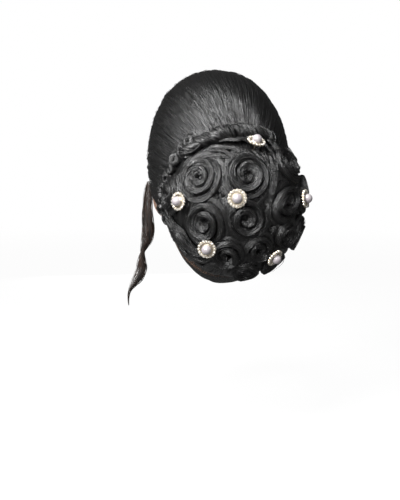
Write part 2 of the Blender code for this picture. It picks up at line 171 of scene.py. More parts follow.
# name, place, height that it aims at, size, power in watts
LIGHTS = [
    ("overhead_light", (0.52, 0.72, 1.20), -0.08, 0.5, 29),
    ("left_light", (1.15, 0.95, 0.62), -0.12, 0.5, 44),
    ("crown_left_light", (0.95, 0.02, 1.00), -0.08, 0.5, 11),
    ("camera_light", (0.30, 1.55, 0.45), -0.12, 0.35, 11),
    ("right_light", (-1.4, 1.2, 0.25), -0.12, 0.7, 3),
    ("front_light", (-0.10, -1.30, -0.28), -0.10, 0.5, 2.5),
]
for name, place, aim_height, size, power in LIGHTS:
    soft_light(name, place, (0, 0, aim_height), size, power)
print("room and lights ready")

# %% [markdown]
# ## Places on the head and on the bun
# Two round forms carry everything. The head is a superellipsoid, a ball with slightly squared
# sides, and a place on it is named by an angle round the middle of the bun and an angle away
# from it. The bun is an ellipsoid, and a place on it is named by longitude and latitude. Numpy
# works on all points of a surface at once.

# %% The head's form
HEAD = (0.075, 0.098, 0.097, 0.135)  # side, back, up, down
SQUARENESS = 2.2
CAP_WALL = 0.0012
SEAT_GAP = 0.0003
HAIR_THICKNESS = (0.0055, 0.0078, 0.0188, 0.0065)
CROWN_LEAN = 0.035
HAIRLINE_THICKNESS = 0.003
HAIRLINE_TAPER = 0.22
HEAD_CENTRE = np.array((0, 0, -HEAD[2]))
POLE_DROP = radians(8.7)
POLE = np.array((0, cos(POLE_DROP), -sin(POLE_DROP)))
POLE_UP = np.array((0, sin(POLE_DROP), cos(POLE_DROP)))
LEFT = np.array((1.0, 0, 0))
CAP_OUTSIDE = [size + CAP_WALL for size in HEAD]
HAIR_INSIDE = [size + CAP_WALL + SEAT_GAP for size in HEAD]
HAIR_OUTSIDE = [inside + hair for inside, hair in zip(HAIR_INSIDE, HAIR_THICKNESS)]

# Degrees round the bun's middle (0 up, 180 down) and how far the hair reaches there
HAIRLINE = np.array(
    [
        (0, 163), (14, 161), (29, 158), (44, 154), (59, 148), (74, 140), (88, 132), (101, 124),
        (110, 115), (114, 95), (117, 72), (124, 62), (134, 60), (149, 58), (165, 55), (180, 53),
    ],
    float,
)  # fmt: skip


def eased(share):
    share = np.clip(share, 0, 1)
    return share * share * (3 - 2 * share)


def head_direction(around, away):
    around = np.asarray(around, float)[..., None]
    away = np.asarray(away, float)[..., None]
    return np.cos(away) * POLE + np.sin(away) * (np.cos(around) * POLE_UP + np.sin(around) * LEFT)


def form_radius(form, direction, lean=0.0):
    side, back, up, down = form
    x, y, z = direction[..., 0], direction[..., 1], direction[..., 2]
    total = np.abs((x - lean * z) / side) ** SQUARENESS + np.abs(y / back) ** SQUARENESS
    total = total + np.abs(z / np.where(z > 0, up, down)) ** SQUARENESS
    return total ** (-1 / SQUARENESS)


def reach(around):
    """The hairline's angle away from the bun's middle, the same on both sides."""
    turned = np.degrees(np.asarray(around, float)) % 360
    turned = np.minimum(turned, 360 - turned)
    return np.radians(np.interp(turned, HAIRLINE[:, 0], HAIRLINE[:, 1]))


def hair_radius(direction, share):
    inside = form_radius(HAIR_INSIDE, direction)
    full = form_radius(HAIR_OUTSIDE, direction, CROWN_LEAN) - inside
    fullness = eased((1 - share) / HAIRLINE_TAPER)
    return inside + HAIRLINE_THICKNESS + np.maximum(full - HAIRLINE_THICKNESS, 0) * fullness


# %% The bun's form
BUN = np.array((0.072, 0.064, 0.079))
BUN_CENTRE = HEAD_CENTRE + np.array((0, 0.080, -0.034))
COIL_HEIGHT = 0.0112
COIL_SEAT = 0.0005


def bun_direction(longitude, latitude):
    lon = np.radians(np.asarray(longitude, float))
    lat = np.radians(np.asarray(latitude, float))
    return np.stack([np.cos(lat) * np.sin(lon), np.cos(lat) * np.cos(lon), np.sin(lat)], -1)


def bun_point(direction, height):
    return BUN_CENTRE + (BUN + np.asarray(height, float)[..., None]) * direction


def on_dome(middle, distance, bearing):
    """The direction reached from the middle by an arc, its bearing from left towards up."""
    left = np.cross(middle, (0, 0, 1.0))
    left = left / np.linalg.norm(left)
    up = np.cross(left, middle)
    distance, bearing = distance[..., None], bearing[..., None]
    step = np.cos(bearing) * left + np.sin(bearing) * up
    return np.cos(distance) * middle + np.sin(distance) * step


print("head and bun forms ready")

# %% [markdown]
# ## Combed relief
# Combed hair is not smooth: it gathers into locks with narrow dark valleys between them, and
# each lock holds finer ones. The relief is a seeded noise, stretched along the hair. Its absolute
# value makes rounded locks with sharp valleys.


# %% Combed relief
LOCKS_SHARE, FINER_SHARE, FINE_SHARE = 0.60, 0.35, 0.25
RELIEF_MIDDLE = 0.45  # taken off, so that the relief lies about even on both sides of the form


def soft_noise(across, along, cells, rows, seed, closed=True):
    """Smooth noise from 0 to 1 in a table of cells, which repeats across if it is closed."""
    table = np.random.default_rng(seed).random((rows + 3, cells + 1))
    if closed:
        table[:, -1] = table[:, 0]
    x = (across % 1.0 if closed else np.clip(across, 0, 0.999999)) * cells
    y = np.clip(along, 0, 0.999999) * rows
    i, j = np.floor(x).astype(int), np.floor(y).astype(int)
    fx, fy = eased(x - i), eased(y - j)
    low = table[j, i] * (1 - fx) + table[j, i + 1] * fx
    high = table[j + 1, i] * (1 - fx) + table[j + 1, i + 1] * fx
    return low * (1 - fy) + high * fy


def combed(across, along, locks, rows, seed, drift=0.6):
    """Relief from about -0.5 to 0.5: locks, finer locks in them, and fine strands."""
    across = across + drift / locks * (soft_noise(across, along, 9, rows + 2, seed) - 0.5) * 2
    locks_only = np.abs(2 * soft_noise(across, along, locks, rows, seed + 1) - 1)
    finer = np.abs(2 * soft_noise(across, along, locks * 3, rows + 1, seed + 2) - 1)
    fine = soft_noise(across, along, locks * 7, rows + 2, seed + 3)
    return locks_only * LOCKS_SHARE + finer * FINER_SHARE + fine * FINE_SHARE - RELIEF_MIDDLE


# %% [markdown]
# ## Surfaces from a grid
# Most pieces here are one surface whose length follows the hair. A grid primitive brings its own
# UV map, with U across the hair and V along it. Its points are laid on the form, then the seam
# and the ends are merged and the faces turned outwards.


# %% Surfaces from a grid
MERGE_GAP = 2e-6


def laid_grid(name, columns, rows, place):
    """A grid primitive laid on a surface by place(across, along), each from 0 to 1."""
    deselect_all()
    bpy.ops.mesh.primitive_grid_add(x_subdivisions=columns, y_subdivisions=rows, size=1)
    piece = bpy.context.object
    piece.name = piece.data.name = name
    points = np.empty(len(piece.data.vertices) * 3)
    piece.data.vertices.foreach_get("co", points)
    points = points.reshape(-1, 3)
    placed = place(np.round(points[:, 0] + 0.5, 6), np.round(points[:, 1] + 0.5, 6))
    piece.data.vertices.foreach_set("co", placed.ravel())
    piece.data.update()
    bpy.ops.object.mode_set(mode="EDIT")
    bpy.ops.mesh.select_all(action="SELECT")
    bpy.ops.mesh.remove_doubles(threshold=MERGE_GAP)
    bpy.ops.mesh.normals_make_consistent(inside=False)
    bpy.ops.object.mode_set(mode="OBJECT")
    bpy.ops.object.shade_smooth()
    return piece


def read_along(values, along):
    """A list or table, whose rows lie at even steps from 0 to 1, read at any place between."""
    values = np.asarray(values, float)
    marks = np.linspace(0, 1, len(values))
    if values.ndim == 1:
        return np.interp(along, marks, values)
    return np.stack([np.interp(along, marks, column) for column in values.T], -1)


def joined(pieces, name):
    """Several grids made one piece."""
    deselect_all()
    for piece in pieces:
        piece.select_set(True)
    bpy.context.view_layer.objects.active = pieces[0]
    if len(pieces) > 1:
        bpy.ops.object.join()
    pieces[0].name = pieces[0].data.name = name
    return pieces[0]


def strands(name, paths, radius, tips=0.25):
    """Single strands: curves with a small round section, thin at both ends, made a mesh."""
    curve = bpy.data.curves.new(name, "CURVE")
    curve.dimensions = "3D"
    curve.bevel_depth = radius
    curve.bevel_resolution = 0
    curve.use_fill_caps = True
    for path in paths:
        spline = curve.splines.new("POLY")
        spline.points.add(len(path) - 1)
        spline.points.foreach_set("co", np.c_[path, np.ones(len(path))].ravel())
        along = np.linspace(0, 1, len(path))
        thin = tips + (1 - tips) * np.sqrt(np.clip(np.sin(pi * along), 0, 1))
        spline.points.foreach_set("radius", thin)
    piece = bpy.data.objects.new(name, curve)
    bpy.context.scene.collection.objects.link(piece)
    deselect_all()
    piece.select_set(True)
    bpy.context.view_layer.objects.active = piece
    bpy.ops.object.convert(target="MESH")
    piece = bpy.context.object
    bpy.ops.object.shade_smooth()
    return piece


def triangles(piece):
    return sum(len(face.vertices) - 2 for face in piece.data.polygons)


def dress(piece, material, slot, *nodes):
    """The piece's finish, its body, and the nodes that it stands for."""
    piece.data.materials.clear()
    piece.data.materials.append(material)
    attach(piece, "root")
    if nodes:
        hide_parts(*nodes)
    print(piece.name, triangles(piece), "triangles")


# %% [markdown]
# ## Hair finish
# Each hair is a dark shiny thread. A group of nodes draws fine streaks along the UV map: it puts
# out a colour, a roughness and a height, and the shader itself stays in the material. Streaks
# that differ in roughness break the highlight into threads, as combed hair does. The colour
# rises with the height: the strands differ in tone, and besides that the raised strands are
# painted lighter, a painted sheen, and the grooves between them darker, painted shade.


# %% Hair finish
# From dark to light: the strands' own tone, with painted shade in the grooves and a painted sheen on
# the raised strands.
TONE_AND_PAINTED_SHEEN_SPAN = (0.42, 0.68)  # the part of the noise that runs from dark to light
GLOSS_SPAN = (0.36, 0.66)
GLOSS = (0.42, 0.20)  # roughness in the valleys and on the streaks
HAIR_SPECULAR = 0.62
BLACK = (0.0016, 0.0016, 0.0016)
SOFT_BLACK = (0.014, 0.0135, 0.0135)
DEEP_BLACK = (0.009, 0.0088, 0.0088)
DARK_BROWN = (0.005, 0.0042, 0.004)
BROWN_BLACK = (0.034, 0.020, 0.014)


def node(tree, kind, **settings):
    made = tree.nodes.new(kind)
    for name, value in settings.items():
        setattr(made, name, value)
    return made


def link(tree, source, target):
    tree.links.new(source, target)


def math_node(tree, operation, first, second):
    made = node(tree, "ShaderNodeMath", operation=operation)
    for socket, value in zip(made.inputs, (first, second)):
        if isinstance(value, bpy.types.NodeSocket):
            link(tree, value, socket)
        else:
            socket.default_value = value
    return made.outputs[0]


def mix_colour(tree, factor, first, second):
    made = node(tree, "ShaderNodeMix", data_type="RGBA")
    sockets = (made.inputs[0], made.inputs[6], made.inputs[7])
    for socket, value in zip(sockets, (factor, first, second)):
        if isinstance(value, bpy.types.NodeSocket):
            link(tree, value, socket)
        else:
            socket.default_value = value
    return made.outputs[2]


def noise_node(tree, vector, scale, detail=2.0):
    made = node(tree, "ShaderNodeTexNoise")
    made.inputs["Scale"].default_value = scale
    made.inputs["Detail"].default_value = detail
    link(tree, vector, made.inputs["Vector"])
    return made.outputs["Fac"]


def new_group(name, inputs, outputs):
    group = bpy.data.node_groups.new(name, "ShaderNodeTree")
    for socket, kind in inputs:
        group.interface.new_socket(name=socket, in_out="INPUT", socket_type=kind)
    for socket, kind in outputs:
        group.interface.new_socket(name=socket, in_out="OUTPUT", socket_type=kind)
    return group, group.nodes.new("NodeGroupInput"), group.nodes.new("NodeGroupOutput")


def make_streaks():
    tree, entry, result = new_group(
        "hair_streaks_and_painted_sheen",
        [
            ("Flow", "NodeSocketVector"),
            ("Strands", "NodeSocketFloat"),
            ("Waves", "NodeSocketFloat"),
            ("Dark", "NodeSocketColor"),
            ("Light", "NodeSocketColor"),
        ],
        [
            ("Colour", "NodeSocketColor"),
            ("Roughness", "NodeSocketFloat"),
            ("Height", "NodeSocketFloat"),
        ],
    )
    flow = node(tree, "ShaderNodeSeparateXYZ")
    link(tree, entry.outputs["Flow"], flow.inputs[0])
    stretched = node(tree, "ShaderNodeCombineXYZ")
    for axis, count in enumerate(("Strands", "Waves")):
        stretch = math_node(tree, "MULTIPLY", flow.outputs[axis], entry.outputs[count])
        link(tree, stretch, stretched.inputs[axis])
    broad = noise_node(tree, stretched.outputs[0], 1.0)
    fine = noise_node(tree, stretched.outputs[0], 3.7)
    streak = math_node(
        tree, "ADD", math_node(tree, "MULTIPLY", broad, 0.6), math_node(tree, "MULTIPLY", fine, 0.4)
    )
    # Painted shade and sheen: the colour follows the height, darker in the grooves and lighter on the
    # raised strands.
    shade = range_node(tree, streak, *TONE_AND_PAINTED_SHEEN_SPAN, 0.0, 1.0)
    colour = mix_colour(tree, shade, entry.outputs["Dark"], entry.outputs["Light"])
    link(tree, colour, result.inputs["Colour"])
    link(tree, range_node(tree, streak, *GLOSS_SPAN, *GLOSS), result.inputs["Roughness"])
    link(tree, streak, result.inputs["Height"])
    return tree


HAIR_STREAKS_AND_SHEEN = make_streaks()


def shader_of(material):
    return material.node_tree.nodes["Principled BSDF"]


def bump(tree, height, strength, distance):
    made = node(tree, "ShaderNodeBump")
    made.inputs["Strength"].default_value = strength
    made.inputs["Distance"].default_value = distance
    link(tree, height, made.inputs["Height"])
    return made.outputs["Normal"]


def hair_material(name, count, waves, dark, light, depth):
    """Streaked hair whose threads follow the piece's UV map."""
    material = plain_material(name, dark, 0.4)
    tree = material.node_tree
    shader = shader_of(material)
    flow = node(tree, "ShaderNodeUVMap")
    streaks = node(tree, "ShaderNodeGroup", node_tree=HAIR_STREAKS_AND_SHEEN)
    streaks.inputs["Strands"].default_value = count
    streaks.inputs["Waves"].default_value = waves
    streaks.inputs["Dark"].default_value = (*dark, 1)
    streaks.inputs["Light"].default_value = (*light, 1)
    link(tree, flow.outputs["UV"], streaks.inputs["Flow"])
    link(tree, streaks.outputs["Colour"], shader.inputs["Base Color"])
    link(tree, streaks.outputs["Roughness"], shader.inputs["Roughness"])
    link(tree, bump(tree, streaks.outputs["Height"], 1.0, depth), shader.inputs["Normal"])
    shader.inputs["Specular IOR Level"].default_value = HAIR_SPECULAR
    return material


# name, threads across and waves along the UV map, dark colour (in the grooves, painted shade) and
# light colour (on the raised strands, painted sheen), depth of the bump
CROWN_FINISH = hair_material("combed_crown_hair", 230, 7, BLACK, DEEP_BLACK, 0.0030)
COIL_FINISH = hair_material("coiled_hair", 15, 9, BLACK, SOFT_BLACK, 0.0034)
THIN_FINISH = hair_material("thin_locks", 7, 4, BLACK, SOFT_BLACK, 0.0026)
CORE_FINISH = hair_material("bun_core_hair", 110, 6, BLACK, DEEP_BLACK, 0.0030)
LOCK_FINISH = hair_material("loose_lock_hair", 12, 9, DARK_BROWN, BROWN_BLACK, 0.0008)


def strand_material(name, dark, light):
    """For single strands, which have no UV map: the shade drifts slowly through space."""
    material = plain_material(name, dark, 0.38)
    tree = material.node_tree
    place = node(tree, "ShaderNodeTexCoord")
    drift = noise_node(tree, place.outputs["Object"], 140.0)
    shade = range_node(tree, drift, 0.35, 0.65, 0.0, 1.0)
    colour = mix_colour(tree, shade, (*dark, 1), (*light, 1))
    link(tree, colour, shader_of(material).inputs["Base Color"])
    link(tree, range_node(tree, drift, 0.3, 0.7, 0.3, 0.5), shader_of(material).inputs["Roughness"])
    return material


STRAND_FINISH = strand_material("single_hairs", BLACK, SOFT_BLACK)
LOCK_STRAND_FINISH = strand_material("single_lock_hairs", DARK_BROWN, BROWN_BLACK)
print("hair finishes ready")

# %% [markdown]
# ## Hair combed over the head
# All of it runs back from the hairline to the middle of the bun, so the grid is a bowl: it
# starts inside at the bun's middle, runs out to the hairline, turns over the edge and comes
# back on top. The combed relief stands on the outer side only.

# %% Hair combed over the head
CROWN_COLUMNS = 700
CROWN_INNER_ROWS = 26
CROWN_ROWS = 98
NAPE_NET = 0.20
CROWN_RELIEF = 0.0016
CROWN_LOCKS = 84
CROWN_WAVES = 4
CROWN_SEED = 11
EDGE_ROUND = 0.03  # share of the way back in which the edge rises to its thickness
RELIEF_RISE = 0.12  # and in which the relief does


def around_of(across):
    """The seam lies at the nape, where the bun hides it."""
    return 2 * pi * (across + 0.5)


def hair_edge(around):
    """The hair's own edge: a little short of the hairline at the nape, where the net shows."""
    low = (1 - np.cos(around)) / 2
    return reach(around) * (1 - NAPE_NET * low**4)


def crown_relief(across, share):
    return combed(across, 1 - share, CROWN_LOCKS, CROWN_WAVES, CROWN_SEED) * CROWN_RELIEF


def place_crown(across, along):
    turn = CROWN_INNER_ROWS / CROWN_ROWS
    outer = along >= turn
    back = (along - turn) / (1 - turn)
    share = np.where(outer, 1 - np.clip(back, 0, 1), along / turn)
    around = around_of(across)
    direction = head_direction(around, share * hair_edge(around))
    inside = form_radius(HAIR_INSIDE, direction)
    thickness = hair_radius(direction, share) - inside
    edge = np.sqrt(np.clip(back / EDGE_ROUND, 0, 1))
    relief = crown_relief(across, share) * (0.25 + 0.75 * eased(back / RELIEF_RISE))
    radius = np.where(outer, inside + (thickness + relief) * edge, inside)
    return HEAD_CENTRE + direction * radius[:, None]


crown = laid_grid("crown_hair", CROWN_COLUMNS, CROWN_ROWS, place_crown)
dress(crown, CROWN_FINISH, "hair", "swept_hair")


# %% Single hairs on the crown
BARE_ARC = (98, 128)  # degrees round the bun where no single hair starts, by the ears
CROWN_HAIR_POINTS = 18


def crown_strands(count, seed):
    random = np.random.default_rng(seed)
    paths = []
    for _ in range(count):
        around = random.uniform(-pi, pi)
        if BARE_ARC[0] < abs(np.degrees(around)) < BARE_ARC[1]:
            continue
        start = random.uniform(0.93, 1.0)
        end = start - random.uniform(0.25, 0.60)
        share = np.linspace(start, end, CROWN_HAIR_POINTS)
        sway = random.uniform(-0.035, 0.035)
        waves = np.linspace(0, pi * random.uniform(0.6, 2), CROWN_HAIR_POINTS)
        turned = around + sway * np.sin(waves)
        direction = head_direction(turned, share * reach(around))
        arch = np.sin(np.linspace(0.1, pi - 0.1, CROWN_HAIR_POINTS))
        lift = random.uniform(0.0002, 0.0011) * arch
        across = (turned / (2 * pi)) + 0.5
        relief = crown_relief(across, share) * eased((1 - share) / RELIEF_RISE)
        radius = hair_radius(direction, np.clip(share, 0, 1)) + relief + lift
        radius -= 0.0024 * eased((share - 0.97) / 0.04)
        paths.append(HEAD_CENTRE + direction * radius[:, None])
    return paths


crown_hairs = strands("crown_single_hairs", crown_strands(400, 5), 0.00022)
dress(crown_hairs, STRAND_FINISH, "hair")

# %% [markdown]
# ## Cap
# The cap is a thin bowl under the hair. Its inside shows the rows of sewn wefts, which are
# grooves here, cut into the wall so that the seat for the head keeps its size. Past the
# hairline the cap goes on as an open net of fine thread, twice as wide at the nape as at the
# brow. At the nape the net is lifted over the foot of the bun.

# %% Cap shell
LACE_AT_BROW = 0.0025
LACE_AT_NAPE = 0.005
WEFT_ROWS = 34
WEFT_DEPTH = 0.00045
CAP_INNER_SHARE = 0.7  # of the grid's rows, for the inside with its grooves


def lace_away(around):
    low = (1 - np.cos(around)) / 2
    margin = LACE_AT_BROW + (LACE_AT_NAPE - LACE_AT_BROW) * low**3
    return margin / form_radius(CAP_OUTSIDE, POLE)


def place_cap(across, along):
    outer = along > CAP_INNER_SHARE
    share = np.where(outer, (1 - along) / (1 - CAP_INNER_SHARE), along / CAP_INNER_SHARE)
    around = around_of(across)
    direction = head_direction(around, share * reach(around))
    groove = WEFT_DEPTH * (0.5 - 0.5 * np.cos(2 * pi * share * WEFT_ROWS)) * (share < 0.985)
    inside = form_radius(HEAD, direction) + groove
    outside = form_radius(CAP_OUTSIDE, direction)
    return HEAD_CENTRE + direction * np.where(outer, outside, inside)[:, None]


cap = laid_grid("cap_shell", 150, 240, place_cap)


# %% Lace edge
LACE_COLUMNS = 290
LACE_ROWS = 12
LACE_THREAD = 0.00034
LACE_LIFT = 0.0002
NAPE_LIFT = 0.0042  # there the net lies over the foot of the bun
LACE_TUCK = 0.02  # radians by which the net starts under the hair
CURVE_STEPS = 1440


def hairline_curve(count):
    """Even steps along the hair's edge: directions, and the way out across it."""
    around = np.linspace(0, 2 * pi, 20001) + pi
    direction = head_direction(around, hair_edge(around) - LACE_TUCK)
    length = np.concatenate([[0], np.cumsum(np.linalg.norm(np.diff(direction, axis=0), axis=1))])
    even = np.interp(np.linspace(0, length[-1], count + 1), length, around)
    direction = head_direction(even, hair_edge(even) - LACE_TUCK)
    kernel = np.hanning(31)
    kernel /= kernel.sum()
    rows = np.vstack([direction[:-1]] * 3)
    rows = np.stack([np.convolve(rows[:, k], kernel, "same") for k in range(3)], -1)
    direction = np.vstack([rows[count : 2 * count], rows[count : count + 1]])
    direction /= np.linalg.norm(direction, axis=1)[:, None]
    out = np.cross(direction, np.gradient(direction, axis=0))
    out /= np.linalg.norm(out, axis=1)[:, None]
    out *= np.sign((out * (direction - POLE)).sum(1).mean())
    wide = LACE_TUCK + lace_away(even) + reach(even) - hair_edge(even)
    return direction, out, wide


LACE_CURVE = hairline_curve(CURVE_STEPS)


def place_lace(across, along):
    row = np.round(along * LACE_ROWS)
    shifted = (across + (row % 2) * 0.5 / LACE_COLUMNS) % 1.0
    direction, out, wide = (read_along(values, shifted) for values in LACE_CURVE)
    direction = direction + out * (wide * along)[:, None]
    direction /= np.linalg.norm(direction, axis=1)[:, None]
    along_pole = direction @ POLE
    low = 0.5 - 0.5 * (direction @ POLE_UP) / np.sqrt(1 - along_pole**2)
    radius = form_radius(CAP_OUTSIDE, direction) + LACE_LIFT + NAPE_LIFT * low**3
    return HEAD_CENTRE + direction * radius[:, None]


lace = laid_grid("cap_lace_edge", LACE_COLUMNS, LACE_ROWS, place_lace)
net = lace.modifiers.new("net", "WIREFRAME")
net.thickness = LACE_THREAD
net.use_boundary = True
net.use_even_offset = False
bpy.ops.object.modifier_apply(modifier=net.name)


def lace_material(name, dark, light, scale):
    """Brown thread: a fine twist on Object coordinates in colour and height."""
    material = plain_material(name, dark, 0.75)
    tree = material.node_tree
    place = node(tree, "ShaderNodeTexCoord")
    twist = noise_node(tree, place.outputs["Object"], scale, 4.0)
    shade = range_node(tree, twist, 0.35, 0.65, 0.0, 1.0)
    colour = mix_colour(tree, shade, (*dark, 1), (*light, 1))
    link(tree, colour, shader_of(material).inputs["Base Color"])
    link(tree, range_node(tree, twist, 0.3, 0.7, 0.65, 0.85), shader_of(material).inputs["Roughness"])
    link(tree, bump(tree, twist, 0.5, 0.0002), shader_of(material).inputs["Normal"])
    return material


CAP_FINISH = lace_material("cap_cloth", (0.045, 0.026, 0.018), (0.11, 0.062, 0.040), 900)
THREAD_FINISH = lace_material("lace_thread", (0.11, 0.058, 0.036), (0.22, 0.125, 0.082), 1500)
dress(cap, CAP_FINISH, "cap_lace", "wig_cap")
dress(lace, THREAD_FINISH, "cap_lace")

# %% [markdown]
# ## Bun core
# Under the coils the bun is a wound ball of hair. It is an ellipsoid laid from a grid, and
# where it would reach into the head its points are drawn out to the combed hair, so the
# inside of the cap stays free. It stands a little higher than the model's bun body, so that
# no gap shows under the coils.

# %% Bun core
CORE_RELIEF = 0.0034
CORE_FILL = 0.0014
CORE_LOCKS = 30
CORE_SWIRL = 14  # degrees
CORE_CLEARANCE = 0.0025


def clear_of_head(points, gap):
    arm = points - HEAD_CENTRE
    length = np.linalg.norm(arm, axis=-1)
    direction = arm / length[..., None]
    least = form_radius(HAIR_INSIDE, direction) + gap
    return HEAD_CENTRE + direction * np.maximum(length, least)[..., None]


def place_core(across, along):
    longitude = 360 * across - 180
    longitude = longitude + CORE_SWIRL * np.sin(pi * along * 1.5)
    direction = bun_direction(longitude, 180 * along - 90)
    relief = combed(across, along, CORE_LOCKS, 4, 31) * CORE_RELIEF
    ends = np.sqrt(np.clip(np.sin(pi * along), 0, 1))
    return clear_of_head(bun_point(direction, relief * ends + CORE_FILL), CORE_CLEARANCE)


core = laid_grid("bun_core", 230, 90, place_core)
dress(core, CORE_FINISH, "hair", "chignon_core")

# %% [markdown]
# ## Coiled rosettes
# A rosette is one lock of hair wound flat, like a rolled ribbon: every turn is a broad band that
# slopes down from its rim to the heart and leaves a dark groove to the next. The lock's outline
# is a closed loop of points that is carried along a spiral on the bun. Its outer end is a thin
# tail that runs under its neighbours, and its inner end closes in the heart.

# %% Coiled rosettes
Coil = namedtuple("Coil", "longitude latitude radius turns hand start aspect tilt")
ROSETTES = [
    Coil(44, 20.5, 0.334, 2.9, 1, 45, 1.0, 0),
    Coil(2, 23, 0.335, 2.8, -1, 90, 1.0, 0),
    Coil(-49, 31, 0.285, 2.3, 1, 100, 0.9, 30),
    Coil(-79, 36, 0.200, 1.8, -1, 60, 1.0, 0),
    Coil(-35, 2, 0.315, 2.2, 1, 0, 0.70, 150),
    Coil(38, -12.5, 0.293, 2.5, -1, 330, 1.0, 0),
    Coil(3, -9, 0.280, 2.5, 1, 180, 1.0, 0),
    Coil(-40, -23, 0.235, 1.9, -1, 180, 0.9, 0),
    Coil(-12, -34, 0.215, 2.0, 1, 250, 1.0, 0),
    Coil(20, -39, 0.240, 2.1, -1, 290, 1.0, 0),
    Coil(-4, -62, 0.235, 2.0, 1, 270, 1.0, 0),
    Coil(81, 7, 0.225, 2.0, 1, 330, 1.0, 0),
    Coil(-77, 7, 0.280, 2.2, -1, 0, 1.0, 0),
    Coil(-73, -25, 0.275, 2.1, 1, 270, 1.0, 0),
    Coil(-46, -52, 0.235, 1.9, -1, 300, 1.0, 0),
]
OUTER_RING = 0.35
HEART = 0.25
TAIL_SHARE = 0.35
HEART_HEIGHT = 0.75
PETAL_REACH = 0.46
RIM_SHARE = 0.66  # of the full height, on the coil's outer turn
COIL_RELIEF = 0.26
COIL_LOCKS = 8
SWAY = 0.14  # how far the winding wanders, in shares of the pitch

# The lock's outline: across in shares of the pitch of the winding, height of the coil's height.
# It is a broad band: highest at its outer rim, from where it slopes down to the heart.
PETAL = np.array(
    [
        (0.00, 0.00), (0.40, 0.00), (0.53, 0.20), (0.57, 0.55), (0.53, 0.90), (0.43, 1.04),
        (0.28, 1.02), (0.10, 0.92), (-0.08, 0.79), (-0.24, 0.64), (-0.36, 0.48), (-0.43, 0.26),
        (-0.40, 0.03), (0.00, 0.00),
    ]
)  # fmt: skip


def outline(points, share):
    """A place on a closed outline, even along its length."""
    steps = np.linalg.norm(np.diff(points, axis=0), axis=1)
    marks = np.concatenate([[0], np.cumsum(steps)]) / steps.sum()
    return np.stack([np.interp(share, marks, points[:, k]) for k in range(points.shape[1])], -1)


def smooth_outline(points, count=200):
    """The outline with its corners rounded off."""
    dense = outline(points, np.linspace(0, 1, count + 1))[:-1]
    kernel = np.hanning(13)
    kernel /= kernel.sum()
    rounded = np.stack(
        [np.convolve(np.tile(dense[:, k], 3), kernel, "same")[count : 2 * count] for k in range(2)], -1
    )
    return np.vstack([rounded, rounded[:1]])


PETAL_ROUND = smooth_outline(PETAL)
PETAL_MIDDLE = np.array((0.12, 0.40))


def across_inward(loop):
    """Shares of a turn by which a point of the outline lies nearer to the heart."""
    return 0.4 - loop[:, 0]


def on_coil(coil, distance, bearing):
    """A direction on the dome near a coil, which may be narrower one way than the other."""
    middle = bun_direction(coil.longitude, coil.latitude)
    short, long = distance * np.sin(bearing) * coil.aspect, distance * np.cos(bearing)
    return on_dome(middle, np.hypot(long, short), np.arctan2(short, long) + radians(coil.tilt))


def winding(coil, turn):
    """The bearing, the distance from the heart and the pitch of a coil after some turns."""
    pitch = coil.radius / (coil.turns + HEART)
    bearing = radians(coil.start) + coil.hand * turn * 2 * pi
    distance = coil.radius - pitch * (PETAL_REACH + np.maximum(turn - OUTER_RING, 0))
    return bearing, distance, pitch


def sunk_heart(coil, turn):
    return HEART_HEIGHT + (1 - HEART_HEIGHT) * eased(coil.turns - turn)


def coil_place(coil, seed):
    turns = coil.turns

    def place(across, along):
        turn = along * turns
        loop = outline(PETAL_ROUND, across)
        offset = loop - PETAL_MIDDLE
        strand = combed(across, along, COIL_LOCKS, max(int(turns * 5), 4), seed, drift=1.1)
        size = np.linalg.norm(offset, axis=1)
        offset = offset * (1 + COIL_RELIEF * strand / np.maximum(size, 0.3))[:, None]
        ends = np.sqrt(np.clip(np.minimum(turn / 0.3, (turns - turn) / 0.06), 0, 1))
        loop = PETAL_MIDDLE + offset * ends[:, None]
        sway = soft_noise(along, along, int(turns * 3) + 1, 1, seed + 7, closed=False) - 0.5
        rise = soft_noise(along, along, int(turns * 4) + 1, 1, seed + 8, closed=False) - 0.5
        tail = TAIL_SHARE + (1 - TAIL_SHARE) * eased(turn / OUTER_RING)
        bearing, distance, pitch = winding(coil, turn)
        distance = distance + pitch * (loop[:, 0] * tail + SWAY * sway)
        dome = RIM_SHARE + (1 - RIM_SHARE) * eased((turn + across_inward(loop)) / 1.1)
        height = loop[:, 1] * (1 + 0.24 * rise * eased(turn * 2)) * dome
        lift = COIL_SEAT + COIL_HEIGHT * height * np.minimum(tail, sunk_heart(coil, turn))
        return bun_point(on_coil(coil, distance, bearing), lift)

    return place


COIL_COLUMNS = 76
ROWS_PER_TURN = 34
for number, coil in enumerate(ROSETTES, start=1):
    rows = int(coil.turns * ROWS_PER_TURN)
    place = coil_place(coil, 100 + 10 * number)
    piece = laid_grid(f"coil_{number:02d}", COIL_COLUMNS, rows, place)
    dress(piece, COIL_FINISH, "hair", f"rosette_{number:02d}")

# %% [markdown]
# ## Locks laid between the coils
# Hair also runs in the valleys between two coils. For each pair of neighbours a low lock is
# laid across the line that joins them. The two named locks of the model, a shiny fan at the
# upper right and a wavy one at the lower left, are bundles of such locks.


# %% Locks laid on the bun
def smooth_table(rows, count):
    """Rows of a table read at even steps on a smooth curve through them."""
    rows = np.asarray(rows, float)
    at = np.linspace(0, len(rows) - 1, count)
    i = np.minimum(at.astype(int), len(rows) - 2)
    t = (at - i)[:, None]
    p = [rows[np.clip(i + k, 0, len(rows) - 1)] for k in (-1, 0, 1, 2)]
    return 0.5 * (
        2 * p[1]
        + (p[2] - p[0]) * t
        + (2 * p[0] - 5 * p[1] + 4 * p[2] - p[3]) * t**2
        + (3 * p[1] - p[0] - 3 * p[2] + p[3]) * t**3
    )


